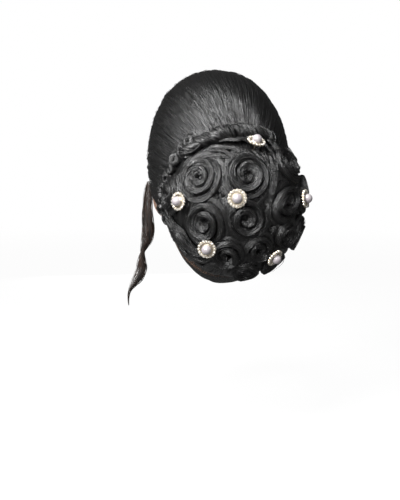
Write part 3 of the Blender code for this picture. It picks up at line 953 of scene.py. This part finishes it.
def tube_place(path, wide, thick, facing, seed, locks=4, relief=0.16):
    """A round lock along a path: its half width, its half thickness and the way it faces."""
    path = np.asarray(path, float)
    along_path = np.gradient(path, axis=0)
    along_path /= np.linalg.norm(along_path, axis=1)[:, None]
    facing = np.broadcast_to(np.asarray(facing, float), path.shape)
    side = np.cross(facing, along_path)
    side /= np.linalg.norm(side, axis=1)[:, None]
    out = np.cross(along_path, side)

    def place(across, along):
        strand = 1 + relief * combed(across, along, locks, 6, seed)
        ends = np.sqrt(np.clip(np.minimum(along, 1 - along) / 0.02, 0, 1))
        angle = 2 * pi * across
        x = np.cos(angle) * read_along(wide, along) * strand * ends
        y = np.sin(angle) * read_along(thick, along) * strand * ends
        centre, sideways, outwards = (read_along(line, along) for line in (path, side, out))
        return centre + sideways * x[:, None] + outwards * y[:, None]

    return place


VALLEY_REACH = 0.12  # radians between two rims that still count as neighbours
VALLEY_LIFT = 0.0016
VALLEY_RADIUS = 0.0042
WRAPS = 6


def valley_locks(seed):
    random = np.random.default_rng(seed)
    made = []
    for i, first in enumerate(ROSETTES):
        for second in ROSETTES[i + 1 :]:
            a = bun_direction(first.longitude, first.latitude)
            b = bun_direction(second.longitude, second.latitude)
            apart = np.arccos(np.clip(a @ b, -1, 1))
            if apart > first.radius + second.radius + VALLEY_REACH:
                continue
            split = first.radius / (first.radius + second.radius)
            middle = a * (1 - split) + b * split
            middle /= np.linalg.norm(middle)
            across = np.cross(a, b)
            across /= np.linalg.norm(across)
            reach_out = np.linspace(-0.26, 0.26, 24) * random.uniform(0.85, 1.15)
            bow = random.uniform(-0.05, 0.05) * np.cos(reach_out * 6)
            toward = np.cross(across, middle)
            direction = middle + across * reach_out[:, None] + toward * bow[:, None]
            direction /= np.linalg.norm(direction, axis=1)[:, None]
            path = bun_point(direction, np.full(24, VALLEY_LIFT))
            half = VALLEY_RADIUS * np.sin(np.linspace(0.15, pi - 0.15, 24)) ** 0.5
            lock = tube_place(path, half, half, direction, seed + len(made), relief=0.22)
            made.append(laid_grid("valley_lock", 24, 26, lock))
    return joined(made, "valley_locks")


valleys = valley_locks(501)
dress(valleys, THIN_FINISH, "hair")


def coil_wraps(seed):
    """Flat ribbons that run part of the way round a coil, outside its last turn."""
    random = np.random.default_rng(seed)
    made = []
    for coil in ROSETTES:
        for _ in range(WRAPS):
            arc = np.linspace(0, random.uniform(1.6, 4.2), 40) * coil.hand
            arc = arc + random.uniform(0, 2 * pi)
            marks = np.linspace(0, 1, 40)
            away = coil.radius * (random.uniform(1.10, 1.26) - 0.16 * marks)
            away = away * (1 + 0.03 * np.sin(marks * 9 + random.uniform(0, 6)))
            direction = on_coil(coil, away, arc)
            lift = 0.0012 + 0.0036 * np.sin(pi * marks * random.uniform(0.6, 1.0))
            path = bun_point(direction, lift)
            taper = 0.3 + 0.7 * np.sin(pi * (0.08 + 0.84 * marks))
            half = random.uniform(0.0022, 0.0042) * taper
            lock = tube_place(path, half, half * 0.42, direction, seed + len(made), 9, 0.34)
            made.append(laid_grid("coil_wrap", 18, 26, lock))
    return joined(made, "coil_wraps")


dress(coil_wraps(1200), THIN_FINISH, "hair")

# longitude, latitude, width, height, the last two in shares of the bun and of the coils
SIDE_LOCK = [(84, -12, 0.050, 0.40), (75, -19, 0.095, 0.70), (66, -28, 0.105, 0.75),
             (54, -38, 0.085, 0.65), (44, -45, 0.045, 0.40)]  # fmt: skip
FAN_LOCK = [(-24, 34, 0.055, 0.45), (-24, 25, 0.095, 0.80), (-20, 14, 0.080, 0.80),
            (-17, 4, 0.040, 0.60), (-18, -6, 0.030, 0.45)]  # fmt: skip


def laid_bundle(name, rows, count, wave, seed):
    """A flat bundle of thin locks that fan out and close in with the table's width."""
    table = smooth_table(rows, 60)
    direction = bun_direction(table[:, 0], table[:, 1])
    ahead = np.gradient(direction, axis=0)
    across = np.cross(ahead, direction)
    across /= np.linalg.norm(across, axis=1)[:, None]
    random = np.random.default_rng(seed)
    made = []
    for k in range(count):
        side = (2 * k + 1) / count - 1
        sway = wave * np.sin(np.linspace(0, 3.6 * pi, 60) + random.uniform(-0.5, 0.5))
        shifted = direction + across * (table[:, 2] * (side * 0.95 + sway))[:, None]
        shifted /= np.linalg.norm(shifted, axis=1)[:, None]
        arch = np.sqrt(1 - 0.85 * side**2)
        half = table[:, 2] * BUN[0] * random.uniform(1.15, 1.5) / count * 1.3
        lift = COIL_SEAT + COIL_HEIGHT * table[:, 3] * arch - half * 0.5
        path = bun_point(shifted, lift)
        lock = tube_place(path, half, half * 1.3, shifted, seed + k, locks=4, relief=0.3)
        made.append(laid_grid(name, 18, 70, lock))
    return joined(made, name)


fan = laid_bundle("fan_of_locks", FAN_LOCK, 9, 0.10, 610)
dress(fan, THIN_FINISH, "hair", "fan_lock")
side_waves = laid_bundle("side_waves", SIDE_LOCK, 8, 0.35, 640)
dress(side_waves, THIN_FINISH, "hair", "side_lock")

# %% [markdown]
# ## Crest
# Over the bun, in the crease between it and the crown, three locks are twisted into a rope, and
# thinner ones wind about them at a pace of their own.
# The crease is found by halving: at each longitude the latitude is sought where a roll of that
# size touches the bun and the combed hair at once.

# %% Crest
CREST_RADIUS = 0.0078
CREST_SINK = 0.95
CREASE_SLOPE = radians(12)
CREST_TWISTS = 4
# locks, distance from the line and size in shares of the crest's radius, spread of the pace
CREST_LOCKS = [(3, 0.42, 0.66, 0.15), (5, 0.86, 0.30, 0.9), (6, 1.02, 0.16, 1.6)]
# longitude and share of the full radius
CREST = np.array(
    [(86, 0.50), (80, 0.80), (66, 0.85), (40, 1.0), (10, 1.0), (-20, 1.0), (-45, 0.90), (-62, 0.75),
     (-70, 0.45)]
)  # fmt: skip


def crease_latitude(longitude, radius):
    low, high = np.zeros_like(longitude), np.full_like(longitude, 89.0)
    for _ in range(40):
        latitude = (low + high) / 2
        point = bun_point(bun_direction(longitude, latitude), radius * CREST_SINK + COIL_SEAT)
        arm = point - HEAD_CENTRE
        length = np.linalg.norm(arm, axis=1)
        clear = length - form_radius(HAIR_OUTSIDE, arm / length[:, None], CROWN_LEAN)
        far = clear > (radius * CREST_SINK + SEAT_GAP) / cos(CREASE_SLOPE)
        low, high = np.where(far, latitude, low), np.where(far, high, latitude)
    return low


def crest_line():
    """The crest's centre line, its radius, and the two directions across it."""
    longitude = np.linspace(CREST[0, 0], CREST[-1, 0], 200)
    radius = CREST_RADIUS * np.interp(-longitude, -CREST[:, 0], CREST[:, 1])
    latitude = crease_latitude(longitude, radius)
    centre = bun_point(bun_direction(longitude, latitude), radius * CREST_SINK + COIL_SEAT)
    ahead = np.gradient(centre, axis=0)
    ahead /= np.linalg.norm(ahead, axis=1)[:, None]
    out = np.cross(centre - BUN_CENTRE, ahead)
    out /= np.linalg.norm(out, axis=1)[:, None]
    return centre, radius, out, np.cross(ahead, out)


def make_crest(seed):
    """Locks of three sizes wound about one line, each at its own pace."""
    centre, radius, out, up = crest_line()
    random = np.random.default_rng(seed)
    marks = np.linspace(0, 1, len(centre))
    made = []
    for count, offset, size, spread in CREST_LOCKS:
        for k in range(count):
            pace = CREST_TWISTS * (1 + spread * random.uniform(-0.6, 0.6))
            waves = 2 * pi * marks * random.uniform(1.5, 3.5) + random.uniform(0, 6)
            angle = 2 * pi * (pace * marks + k / count) + spread * 0.8 * np.sin(waves)
            away = offset * (1 + 0.12 * np.sin(2 * pi * marks * random.uniform(2, 5)))
            outward = np.cos(angle)[:, None] * out + np.sin(angle)[:, None] * up
            path = centre + outward * (radius * away)[:, None]
            swell = size * (1 + 0.18 * np.sin(2 * pi * marks * random.uniform(3, 6) + k))
            half = radius * swell
            lock = tube_place(path, half, half * 0.8, outward, seed + len(made), 5, 0.30)
            made.append(laid_grid("crest_rope", 20, 140, lock))
    return joined(made, "crest_rope")


crest = make_crest(700)
dress(crest, THIN_FINISH, "hair", "crest_twist")

# %% [markdown]
# ## Locks over crown and bun
# Between crest and coils, and down the bun's left edge, short locks cross from the combed hair on
# to the bun in waves. They are drawn in one set of angles, round and away from the bun's middle,
# and laid on whichever of the two forms stands out further there.


# %% A place on crown or bun
def outer_point(around, away, lift):
    """A point over the hair in degrees round and away, and the way its surface faces."""
    around, away = np.radians(np.asarray(around, float)), np.radians(np.asarray(away, float))
    direction = head_direction(around, away)
    hair = hair_radius(direction, np.clip(away / reach(around), 0, 1))
    start, step = (HEAD_CENTRE - BUN_CENTRE) / BUN, direction / BUN
    a, b, c = (step * step).sum(-1), step @ start, start @ start - 1
    inner = b * b - a * c
    bun = np.where(inner > 0, (-b + np.sqrt(np.maximum(inner, 0))) / a, 0)
    point = HEAD_CENTRE + direction * np.maximum(hair, bun)[..., None]
    normal = np.where((bun > hair)[..., None], (point - BUN_CENTRE) / BUN**2, direction)
    normal /= np.linalg.norm(normal, axis=-1)[..., None]
    return point + normal * np.asarray(lift, float)[..., None], normal


def outer_lock(rows, half, seed, relief=0.30, wave=0.0, waves=2.0):
    """A lock along rows of (around, away, lift), thin at both ends."""
    table = smooth_table(rows, 46)
    marks = np.linspace(0, 1, 46)
    sway = wave * np.sin(2 * pi * waves * marks + seed) * np.sin(pi * marks)
    path, normal = outer_point(table[:, 0] + sway, table[:, 1] + sway * 0.5, table[:, 2])
    taper = (0.25 + 0.75 * np.sin(pi * (0.08 + 0.84 * marks)) ** 0.7) * half
    lock = tube_place(path, taper * 1.25, taper * 0.8, normal, seed, 4, relief)
    return laid_grid("laid_lock", 14, 36, lock)


# %% Waves between the crest and the coils
CREST_WAVES = 26


def crest_waves(seed):
    random = np.random.default_rng(seed)
    made = []
    for k in range(CREST_WAVES):
        start = random.uniform(-34, 64)
        length = random.uniform(30, 58)
        away = random.uniform(15, 31)
        drop = random.uniform(2, 9)
        rows = [
            (start, away + 2, 0.0035),
            (start - length * 0.3, away + random.uniform(-1, 2), 0.0060),
            (start - length * 0.65, away - drop * 0.5, 0.0065),
            (start - length, away - drop, 0.0030),
        ]
        half = random.uniform(0.0014, 0.0027)
        wave, waves = random.uniform(1.5, 5), random.uniform(1, 2)
        made.append(outer_lock(rows, half, seed + k, wave=wave, waves=waves))
    return joined(made, "crest_waves")


dress(crest_waves(820), THIN_FINISH, "hair")


# %% Small curls down the left edge
# around, away, radius in metres
SIDE_CURLS = [
    (48, 41, 0.0080), (59, 42, 0.0066), (69, 44, 0.0070), (79, 46, 0.0064), (88, 49, 0.0072),
    (97, 54, 0.0066), (105, 56, 0.0078), (114, 57, 0.0070), (122, 54, 0.0066),
]  # fmt: skip
CURL_TURNS = 1.45


def small_curl(around, away, radius, hand, seed):
    """A little ring of hair of one turn and a half, its ends tucked in."""
    middle, normal = outer_point(np.array([around]), np.array([away]), np.array([0.0030]))
    side = np.cross(normal[0], (0, 0, 1.0))
    side /= np.linalg.norm(side)
    up = np.cross(side, normal[0])
    marks = np.linspace(0, 1, 60)
    angle = hand * 2 * pi * CURL_TURNS * marks + seed
    size = radius * (1 - 0.75 * marks)
    squeeze = 0.62 + 0.3 * ((seed * 0.37) % 1)
    rise = 0.0030 * np.sin(pi * marks) + 0.0016 * marks
    path = middle[0] + (size * squeeze * np.cos(angle))[:, None] * side
    path = path + (size * np.sin(angle))[:, None] * up + normal[0] * rise[:, None]
    half = radius * 0.42 * (0.5 + 0.5 * np.sin(pi * (0.1 + 0.8 * marks)))
    lock = tube_place(path, half, half * 1.2, normal[0], seed, 4, 0.35)
    return laid_grid("small_curl", 16, 64, lock)


def side_curls(seed):
    made = []
    for k, (around, away, radius) in enumerate(SIDE_CURLS):
        made.append(small_curl(around, away, radius, 1 if k % 2 else -1, seed + k))
        rows = [
            (around - 7, away + 5, 0.001),
            (around - 1, away + 3, 0.004),
            (around + 5, away + 4, 0.003),
            (around + 10, away + 1, 0.001),
        ]
        made.append(outer_lock(rows, 0.0016, seed + 40 + k, wave=2.0, waves=1.5))
    return joined(made, "side_curls")


dress(side_curls(900), THIN_FINISH, "hair")


# %% Waves from the nape up to the bun
NAPE_WAVES = 46
NAPE_ARC = (98, 182)  # degrees round the bun, from behind the left ear to the middle of the nape


def nape_waves(seed):
    """Short waved locks that rise from the hairline at the lower left and turn into the bun."""
    random = np.random.default_rng(seed)
    made = []
    first, last = NAPE_ARC
    for k in range(NAPE_WAVES):
        around = first + (last - first) * (k + random.uniform(-0.4, 0.4)) / (NAPE_WAVES - 1)
        edge = min(57.0, float(np.degrees(hair_edge(radians(around)))) - 1.5)
        lean = random.uniform(6, 16)
        rows = [
            (around, edge, 0.0004),
            (around + lean * 0.2, edge - 5, 0.0034),
            (around + lean * 0.7, edge - 10, 0.0052),
            (around + lean, edge - random.uniform(14, 19), 0.0030),
        ]
        half = random.uniform(0.0020, 0.0034)
        wave, waves = random.uniform(2, 5), random.uniform(0.8, 1.5)
        made.append(outer_lock(rows, half, seed + k, wave=wave, waves=waves))
    return joined(made, "nape_waves")


dress(nape_waves(950), THIN_FINISH, "hair")

# %% [markdown]
# ## Loose lock
# At the left temple one lock was left out of the updo and curled. It is a flat ribbon that
# turns about itself as it falls, so it looks wide and then narrow. A thin ribbon gives it body,
# and single hairs follow it, spread across its width, and come together at the tip.

# %% Loose lock
LOCK_LENGTH = 0.152
LOCK_HALF_WIDTH = 0.0072
LOCK_HALF_THICKNESS = 0.0020
LOCK_ROOT = (104, 112)  # degrees round the bun's middle and away from it
LOCK_STEPS = 120
RIBBON_WIDTH = 0.86  # the ribbon inside the hairs, in shares of the lock
RIBBON_THICKNESS = 1.1
HAIR_SPREAD = 1.3
TIP_THINNING = 1.9
# drop and out in shares of the length, share of the full width, turn in degrees
LOCK = [
    (0.00, -0.013, 0.42, 70), (0.07, -0.008, 0.72, 68), (0.17, 0.002, 0.76, 64),
    (0.26, 0.004, 0.90, 65), (0.38, 0.000, 1.00, 85), (0.48, 0.012, 0.92, 110),
    (0.57, 0.046, 0.62, 168), (0.64, 0.056, 0.72, 215), (0.71, 0.060, 0.92, 250),
    (0.80, 0.098, 0.90, 280), (0.87, 0.148, 0.42, 335), (0.93, 0.164, 0.26, 360),
    (1.00, 0.162, 0.10, 370),
]  # fmt: skip


def lock_root():
    around, away = radians(LOCK_ROOT[0]), radians(LOCK_ROOT[1])
    direction = head_direction(around, away)
    share = away / reach(around)
    surface = HEAD_CENTRE + direction * hair_radius(direction, share)
    return surface + LEFT * (LOCK_HALF_THICKNESS + 2 * SEAT_GAP)


LOCK_TABLE = smooth_table(LOCK, LOCK_STEPS)
LOCK_DROP, LOCK_OUT, LOCK_WIDTH, LOCK_TURN = LOCK_TABLE.T
LEVEL = np.zeros(LOCK_STEPS)
LOCK_PATH = lock_root() + LOCK_LENGTH * np.stack([LOCK_OUT, LEVEL, -LOCK_DROP], -1)
LOCK_COS, LOCK_SIN = np.cos(np.radians(LOCK_TURN)), np.sin(np.radians(LOCK_TURN))
LOCK_WIDE = np.stack([-LOCK_SIN, LOCK_COS, LEVEL], -1)
LOCK_THICK = np.stack([LOCK_COS, LOCK_SIN, LEVEL], -1)


def place_lock(across, along):
    centre, across_wide, across_thin = (
        read_along(line, along) for line in (LOCK_PATH, LOCK_WIDE, LOCK_THICK)
    )
    width = read_along(LOCK_WIDTH, along)
    thinning = np.minimum(1, width * TIP_THINNING)
    angle = 2 * pi * across
    ends = np.sqrt(np.clip(np.minimum(along, 1 - along) / 0.01, 0, 1))
    strand = 1 + 0.22 * combed(across, along, 7, 8, 810)
    wide = np.cos(angle) * LOCK_HALF_WIDTH * RIBBON_WIDTH * width * ends * strand
    thick = np.sin(angle) * LOCK_HALF_THICKNESS * RIBBON_THICKNESS * thinning * ends * strand
    return centre + across_wide * wide[:, None] + across_thin * thick[:, None]


def lock_strands(count, seed):
    random = np.random.default_rng(seed)
    paths = []
    for _ in range(count):
        start, end = random.uniform(0, 0.05), random.uniform(0.62, 1.0)
        along = np.linspace(start, end, 40)
        centre, across_wide, across_thin = (
            read_along(line, along) for line in (LOCK_PATH, LOCK_WIDE, LOCK_THICK)
        )
        width = read_along(LOCK_WIDTH, along)
        side = random.uniform(-1, 1)
        drift = 0.25 * np.sin(np.linspace(0, 2 * pi, 40) + random.uniform(0, 6))
        wide = LOCK_HALF_WIDTH * width * np.clip(side + drift, -1.05, 1.05)
        thick = HAIR_SPREAD * LOCK_HALF_THICKNESS * random.uniform(-1, 1)
        thick = thick * np.minimum(1, width * TIP_THINNING)
        paths.append(centre + across_wide * wide[:, None] + across_thin * thick[:, None])
    return paths


ringlet = laid_grid("temple_ringlet", 42, 170, place_lock)
dress(ringlet, LOCK_FINISH, "hair", "temple_lock")
ringlet_hairs = strands("temple_single_hairs", lock_strands(90, 21), 0.00020)
dress(ringlet_hairs, LOCK_STRAND_FINISH, "hair")


# %% Single hairs round the coils
HAIRS_PER_COIL = 11


def coil_strands(seed):
    random = np.random.default_rng(seed)
    paths = []
    for coil in ROSETTES:
        for _ in range(HAIRS_PER_COIL):
            first = random.uniform(0.2, coil.turns - 0.9)
            turn = np.linspace(first, first + random.uniform(0.3, 0.8), 20)
            bearing, distance, pitch = winding(coil, turn)
            distance = distance + pitch * random.uniform(-0.1, 0.35)
            lift = COIL_SEAT + COIL_HEIGHT * sunk_heart(coil, turn) * random.uniform(0.92, 1.06)
            paths.append(bun_point(on_coil(coil, distance, bearing), lift))
    return paths


coil_hairs = strands("coil_single_hairs", coil_strands(77), 0.00018)
dress(coil_hairs, STRAND_FINISH, "hair")

# %% [markdown]
# ## Pearl pins
# One pin is made at the origin, facing up, and copied six times. Its plate carries sixteen cut
# stones, each in its own round cup, with beads of metal between the stones, and a pearl in the
# middle. The stones keep flat facets: it is the jump from facet to facet that sparkles.

# %% Pin metal
PLATE_RADIUS = 0.0105
PLATE_THICKNESS = 0.0010
PLATE_BACK = COIL_SEAT + COIL_HEIGHT + 0.0012
PLATE_TOP = PLATE_BACK + PLATE_THICKNESS
STONES = 16
STONE_HEIGHT = 0.0011
PEARL_RADIUS = 0.00525
STONE_RADIUS = (PLATE_RADIUS - PEARL_RADIUS) * 0.31
STONE_RING = PLATE_RADIUS - STONE_RADIUS * 1.1
CUP_HEIGHT = 0.0012
CUP_DEPTH = 0.0003
BEADS = ((STONE_RING + 0.00075, 0.00042), (STONE_RING - 0.00095, 0.00036))  # ring and radius
PLATE_MARGIN = 0.0030
STEP_WIDTH = 0.0004
STEP_RISE = 0.0005
BEAD_RISE = 0.00025
PEARL_SEAT_WIRE = 0.00045
PEARL_SEAT_RISE = 0.0002
STEM_RADIUS = 0.0006
STEM_BELOW = 0.0080
STEM_OVERLAP = 0.0002
# longitude and latitude of the pin's foot on the bun, then of the way that it faces
PINS = [
    (11, 6.5, 11, 3), (58, 3, 60, 5), (39, -33, 28, -14),
    (-12, 47, -16, 64), (-54, 4, -58, 5), (-27, -39, -42, -38),
]  # fmt: skip


def select_faces(piece, wanted):
    """Edit mode with only those faces selected that wanted(face) picks."""
    bpy.ops.object.mode_set(mode="EDIT")
    bpy.ops.mesh.select_mode(type="FACE")
    bpy.ops.mesh.select_all(action="DESELECT")
    bm = bmesh.from_edit_mesh(piece.data)
    for face in bm.faces:
        face.select_set(bool(wanted(face)))
    bmesh.update_edit_mesh(piece.data)


def apply_place(piece):
    deselect_all()
    piece.select_set(True)
    bpy.context.view_layer.objects.active = piece
    bpy.ops.object.transform_apply(location=True, rotation=True, scale=True)


def copies_round(piece, count, phase=0.0):
    """The piece and its copies, turned round the pin's axis, each with its own mesh."""
    made = []
    for k in range(count):
        copy = piece.copy()
        copy.data = piece.data.copy()
        bpy.context.scene.collection.objects.link(copy)
        copy.data.transform(Matrix.Rotation(2 * pi * (k + phase) / count, 4, "Z"))
        made.append(copy)
    bpy.data.objects.remove(piece, do_unlink=True)
    return made


def make_metal():
    deselect_all()
    bpy.ops.mesh.primitive_cylinder_add(
        vertices=64,
        radius=PLATE_RADIUS - STONE_RADIUS * 0.9,
        depth=PLATE_THICKNESS,
        location=(0, 0, PLATE_BACK + PLATE_THICKNESS / 2),
    )
    plate = bpy.context.object
    apply_place(plate)
    select_faces(plate, lambda face: face.normal.z > 0.9)
    bpy.ops.mesh.inset(thickness=PLATE_MARGIN)
    bpy.ops.mesh.inset(thickness=STEP_WIDTH)
    bpy.ops.transform.translate(value=(0, 0, STEP_RISE))
    bpy.ops.object.mode_set(mode="OBJECT")

    deselect_all()
    bpy.ops.mesh.primitive_cylinder_add(
        vertices=14,
        radius=STONE_RADIUS * 1.08,
        depth=CUP_HEIGHT,
        location=(STONE_RING, 0, PLATE_BACK + CUP_HEIGHT / 2),
    )
    cup = bpy.context.object
    apply_place(cup)
    select_faces(cup, lambda face: face.normal.z > 0.9)
    bpy.ops.mesh.inset(thickness=STONE_RADIUS * 0.14)
    bpy.ops.mesh.extrude_region_move(TRANSFORM_OT_translate={"value": (0, 0, -CUP_DEPTH)})
    bpy.ops.object.mode_set(mode="OBJECT")
    cups = copies_round(cup, STONES)

    beads = []
    for ring, size in BEADS:
        bpy.ops.mesh.primitive_ico_sphere_add(
            subdivisions=2, radius=size, location=(ring, 0, PLATE_TOP + BEAD_RISE)
        )
        apply_place(bpy.context.object)
        beads += copies_round(bpy.context.object, STONES, phase=0.5)

    bpy.ops.mesh.primitive_torus_add(
        major_radius=PEARL_RADIUS * 0.93,
        minor_radius=PEARL_SEAT_WIRE,
        major_segments=64,
        minor_segments=8,
        location=(0, 0, PLATE_TOP + PEARL_SEAT_RISE),
    )
    seat = bpy.context.object
    apply_place(seat)
    bpy.ops.mesh.primitive_cylinder_add(
        vertices=12,
        radius=STEM_RADIUS,
        depth=PLATE_BACK + STEM_OVERLAP + STEM_BELOW,
        location=(0, 0, (PLATE_BACK + STEM_OVERLAP - STEM_BELOW) / 2),
    )
    stem = bpy.context.object
    apply_place(stem)
    metal = joined([plate, *cups, *beads, seat, stem], "pin_metal_model")
    bpy.ops.object.shade_smooth_by_angle(angle=radians(35))
    return metal


# %% Cut stones and pearl
def make_stones():
    deselect_all()
    bpy.ops.mesh.primitive_cone_add(
        vertices=8,
        radius1=STONE_RADIUS,
        radius2=STONE_RADIUS * 0.55,
        depth=STONE_HEIGHT * 0.8,
        location=(STONE_RING, 0, PLATE_TOP + STONE_HEIGHT * 0.6),
        rotation=(0, 0, pi / 8),
    )
    stone = bpy.context.object
    apply_place(stone)
    select_faces(stone, lambda face: abs(face.normal.z) < 0.85)
    bpy.ops.mesh.poke(offset=STONE_RADIUS * 0.07)
    bpy.ops.object.mode_set(mode="OBJECT")
    stones = copies_round(stone, STONES)
    ring = joined(stones, "pin_stones_model")
    bpy.ops.object.shade_flat()
    return ring


def make_pearl():
    deselect_all()
    flat = PEARL_RADIUS * 0.35
    seat = PLATE_TOP + SEAT_GAP
    bpy.ops.mesh.primitive_uv_sphere_add(
        segments=48, ring_count=24, radius=PEARL_RADIUS, location=(0, 0, seat + flat)
    )
    pearl = bpy.context.object
    apply_place(pearl)
    bpy.ops.object.mode_set(mode="EDIT")
    bpy.ops.mesh.select_all(action="SELECT")
    bpy.ops.mesh.bisect(plane_co=(0, 0, seat), plane_no=(0, 0, 1), clear_inner=True, use_fill=True)
    bpy.ops.object.mode_set(mode="OBJECT")
    bpy.ops.object.shade_smooth_by_angle(angle=radians(40))
    pearl.name = "pearl_model"
    return pearl


# %% [markdown]
# ## Pin finishes
# The metal is a pale champagne gold with fine rubbing marks. The stones are backed with foil, so
# they mirror rather than let light through. A pearl glows from thin layers: a soft base whose
# tint drifts a little from place to place, under a clear coat.


# %% Pin finishes
def metal_material():
    material = plain_material("champagne_metal", (0.80, 0.72, 0.58), 0.25)
    tree = material.node_tree
    shader = shader_of(material)
    shader.inputs["Metallic"].default_value = 1.0
    place = node(tree, "ShaderNodeTexCoord")
    rubbing = noise_node(tree, place.outputs["Object"], 2600, 3.0)
    link(tree, range_node(tree, rubbing, 0.3, 0.7, 0.24, 0.44), shader.inputs["Roughness"])
    tint = mix_colour(tree, rubbing, (0.46, 0.39, 0.29, 1), (0.70, 0.63, 0.52, 1))
    link(tree, tint, shader.inputs["Base Color"])
    return material


def stone_material():
    material = plain_material("cut_stones", (0.92, 0.90, 0.86), 0.05)
    tree = material.node_tree
    shader = shader_of(material)
    shader.inputs["Metallic"].default_value = 0.4
    shader.inputs["Coat Weight"].default_value = 1.0
    shader.inputs["Coat Roughness"].default_value = 0.02
    place = node(tree, "ShaderNodeTexCoord")
    spread = noise_node(tree, place.outputs["Object"], 420, 1.0)
    tint = mix_colour(
        tree, range_node(tree, spread, 0.35, 0.65, 0, 1), (0.44, 0.40, 0.33, 1), (0.74, 0.71, 0.66, 1)
    )
    link(tree, tint, shader.inputs["Base Color"])
    link(tree, range_node(tree, spread, 0.3, 0.7, 0.03, 0.12), shader.inputs["Roughness"])
    return material


def pearl_material():
    material = plain_material("pearl_nacre", (0.83, 0.79, 0.83), 0.2)
    tree = material.node_tree
    shader = shader_of(material)
    shader.inputs["Coat Weight"].default_value = 0.7
    shader.inputs["Coat Roughness"].default_value = 0.06
    shader.inputs["Sheen Weight"].default_value = 0.25
    shader.inputs["Sheen Roughness"].default_value = 0.4
    place = node(tree, "ShaderNodeTexCoord")
    layers = noise_node(tree, place.outputs["Object"], 180, 3.0)
    tint = mix_colour(
        tree, range_node(tree, layers, 0.35, 0.65, 0, 1), (0.27, 0.24, 0.26, 1), (0.36, 0.335, 0.34, 1)
    )
    link(tree, tint, shader.inputs["Base Color"])
    link(tree, range_node(tree, layers, 0.3, 0.7, 0.16, 0.28), shader.inputs["Roughness"])
    return material


METAL_FINISH = metal_material()
STONE_FINISH = stone_material()
PEARL_FINISH = pearl_material()


# %% Six pins
def pin_frame(row):
    foot = bun_point(bun_direction(row[0], row[1]), 0.0)
    facing = Vector(bun_direction(row[2], row[3]) / BUN)
    return Matrix.Translation(Vector(foot)) @ facing.to_track_quat("Z", "Y").to_matrix().to_4x4()


def place_pins():
    models = (
        ("pin_metal", make_metal(), METAL_FINISH, "pin_metal", "pin_setting"),
        ("pin_stones", make_stones(), STONE_FINISH, "pin_metal", None),
        ("pearl", make_pearl(), PEARL_FINISH, "pearl", "pin_pearl"),
    )
    for number, row in enumerate(PINS, start=1):
        for name, model, finish, slot, node_name in models:
            copy = model.copy()
            copy.data = model.data.copy()
            copy.name = copy.data.name = f"{name}_{number}"
            bpy.context.scene.collection.objects.link(copy)
            copy.data.transform(pin_frame(row))
            dress(copy, finish, slot, *([f"{node_name}_{number}"] if node_name else []))
    for _, model, *_ in models:
        bpy.data.objects.remove(model, do_unlink=True)


place_pins()

# %% [markdown]
# ## The end

# %% The end
print("wig dressed")
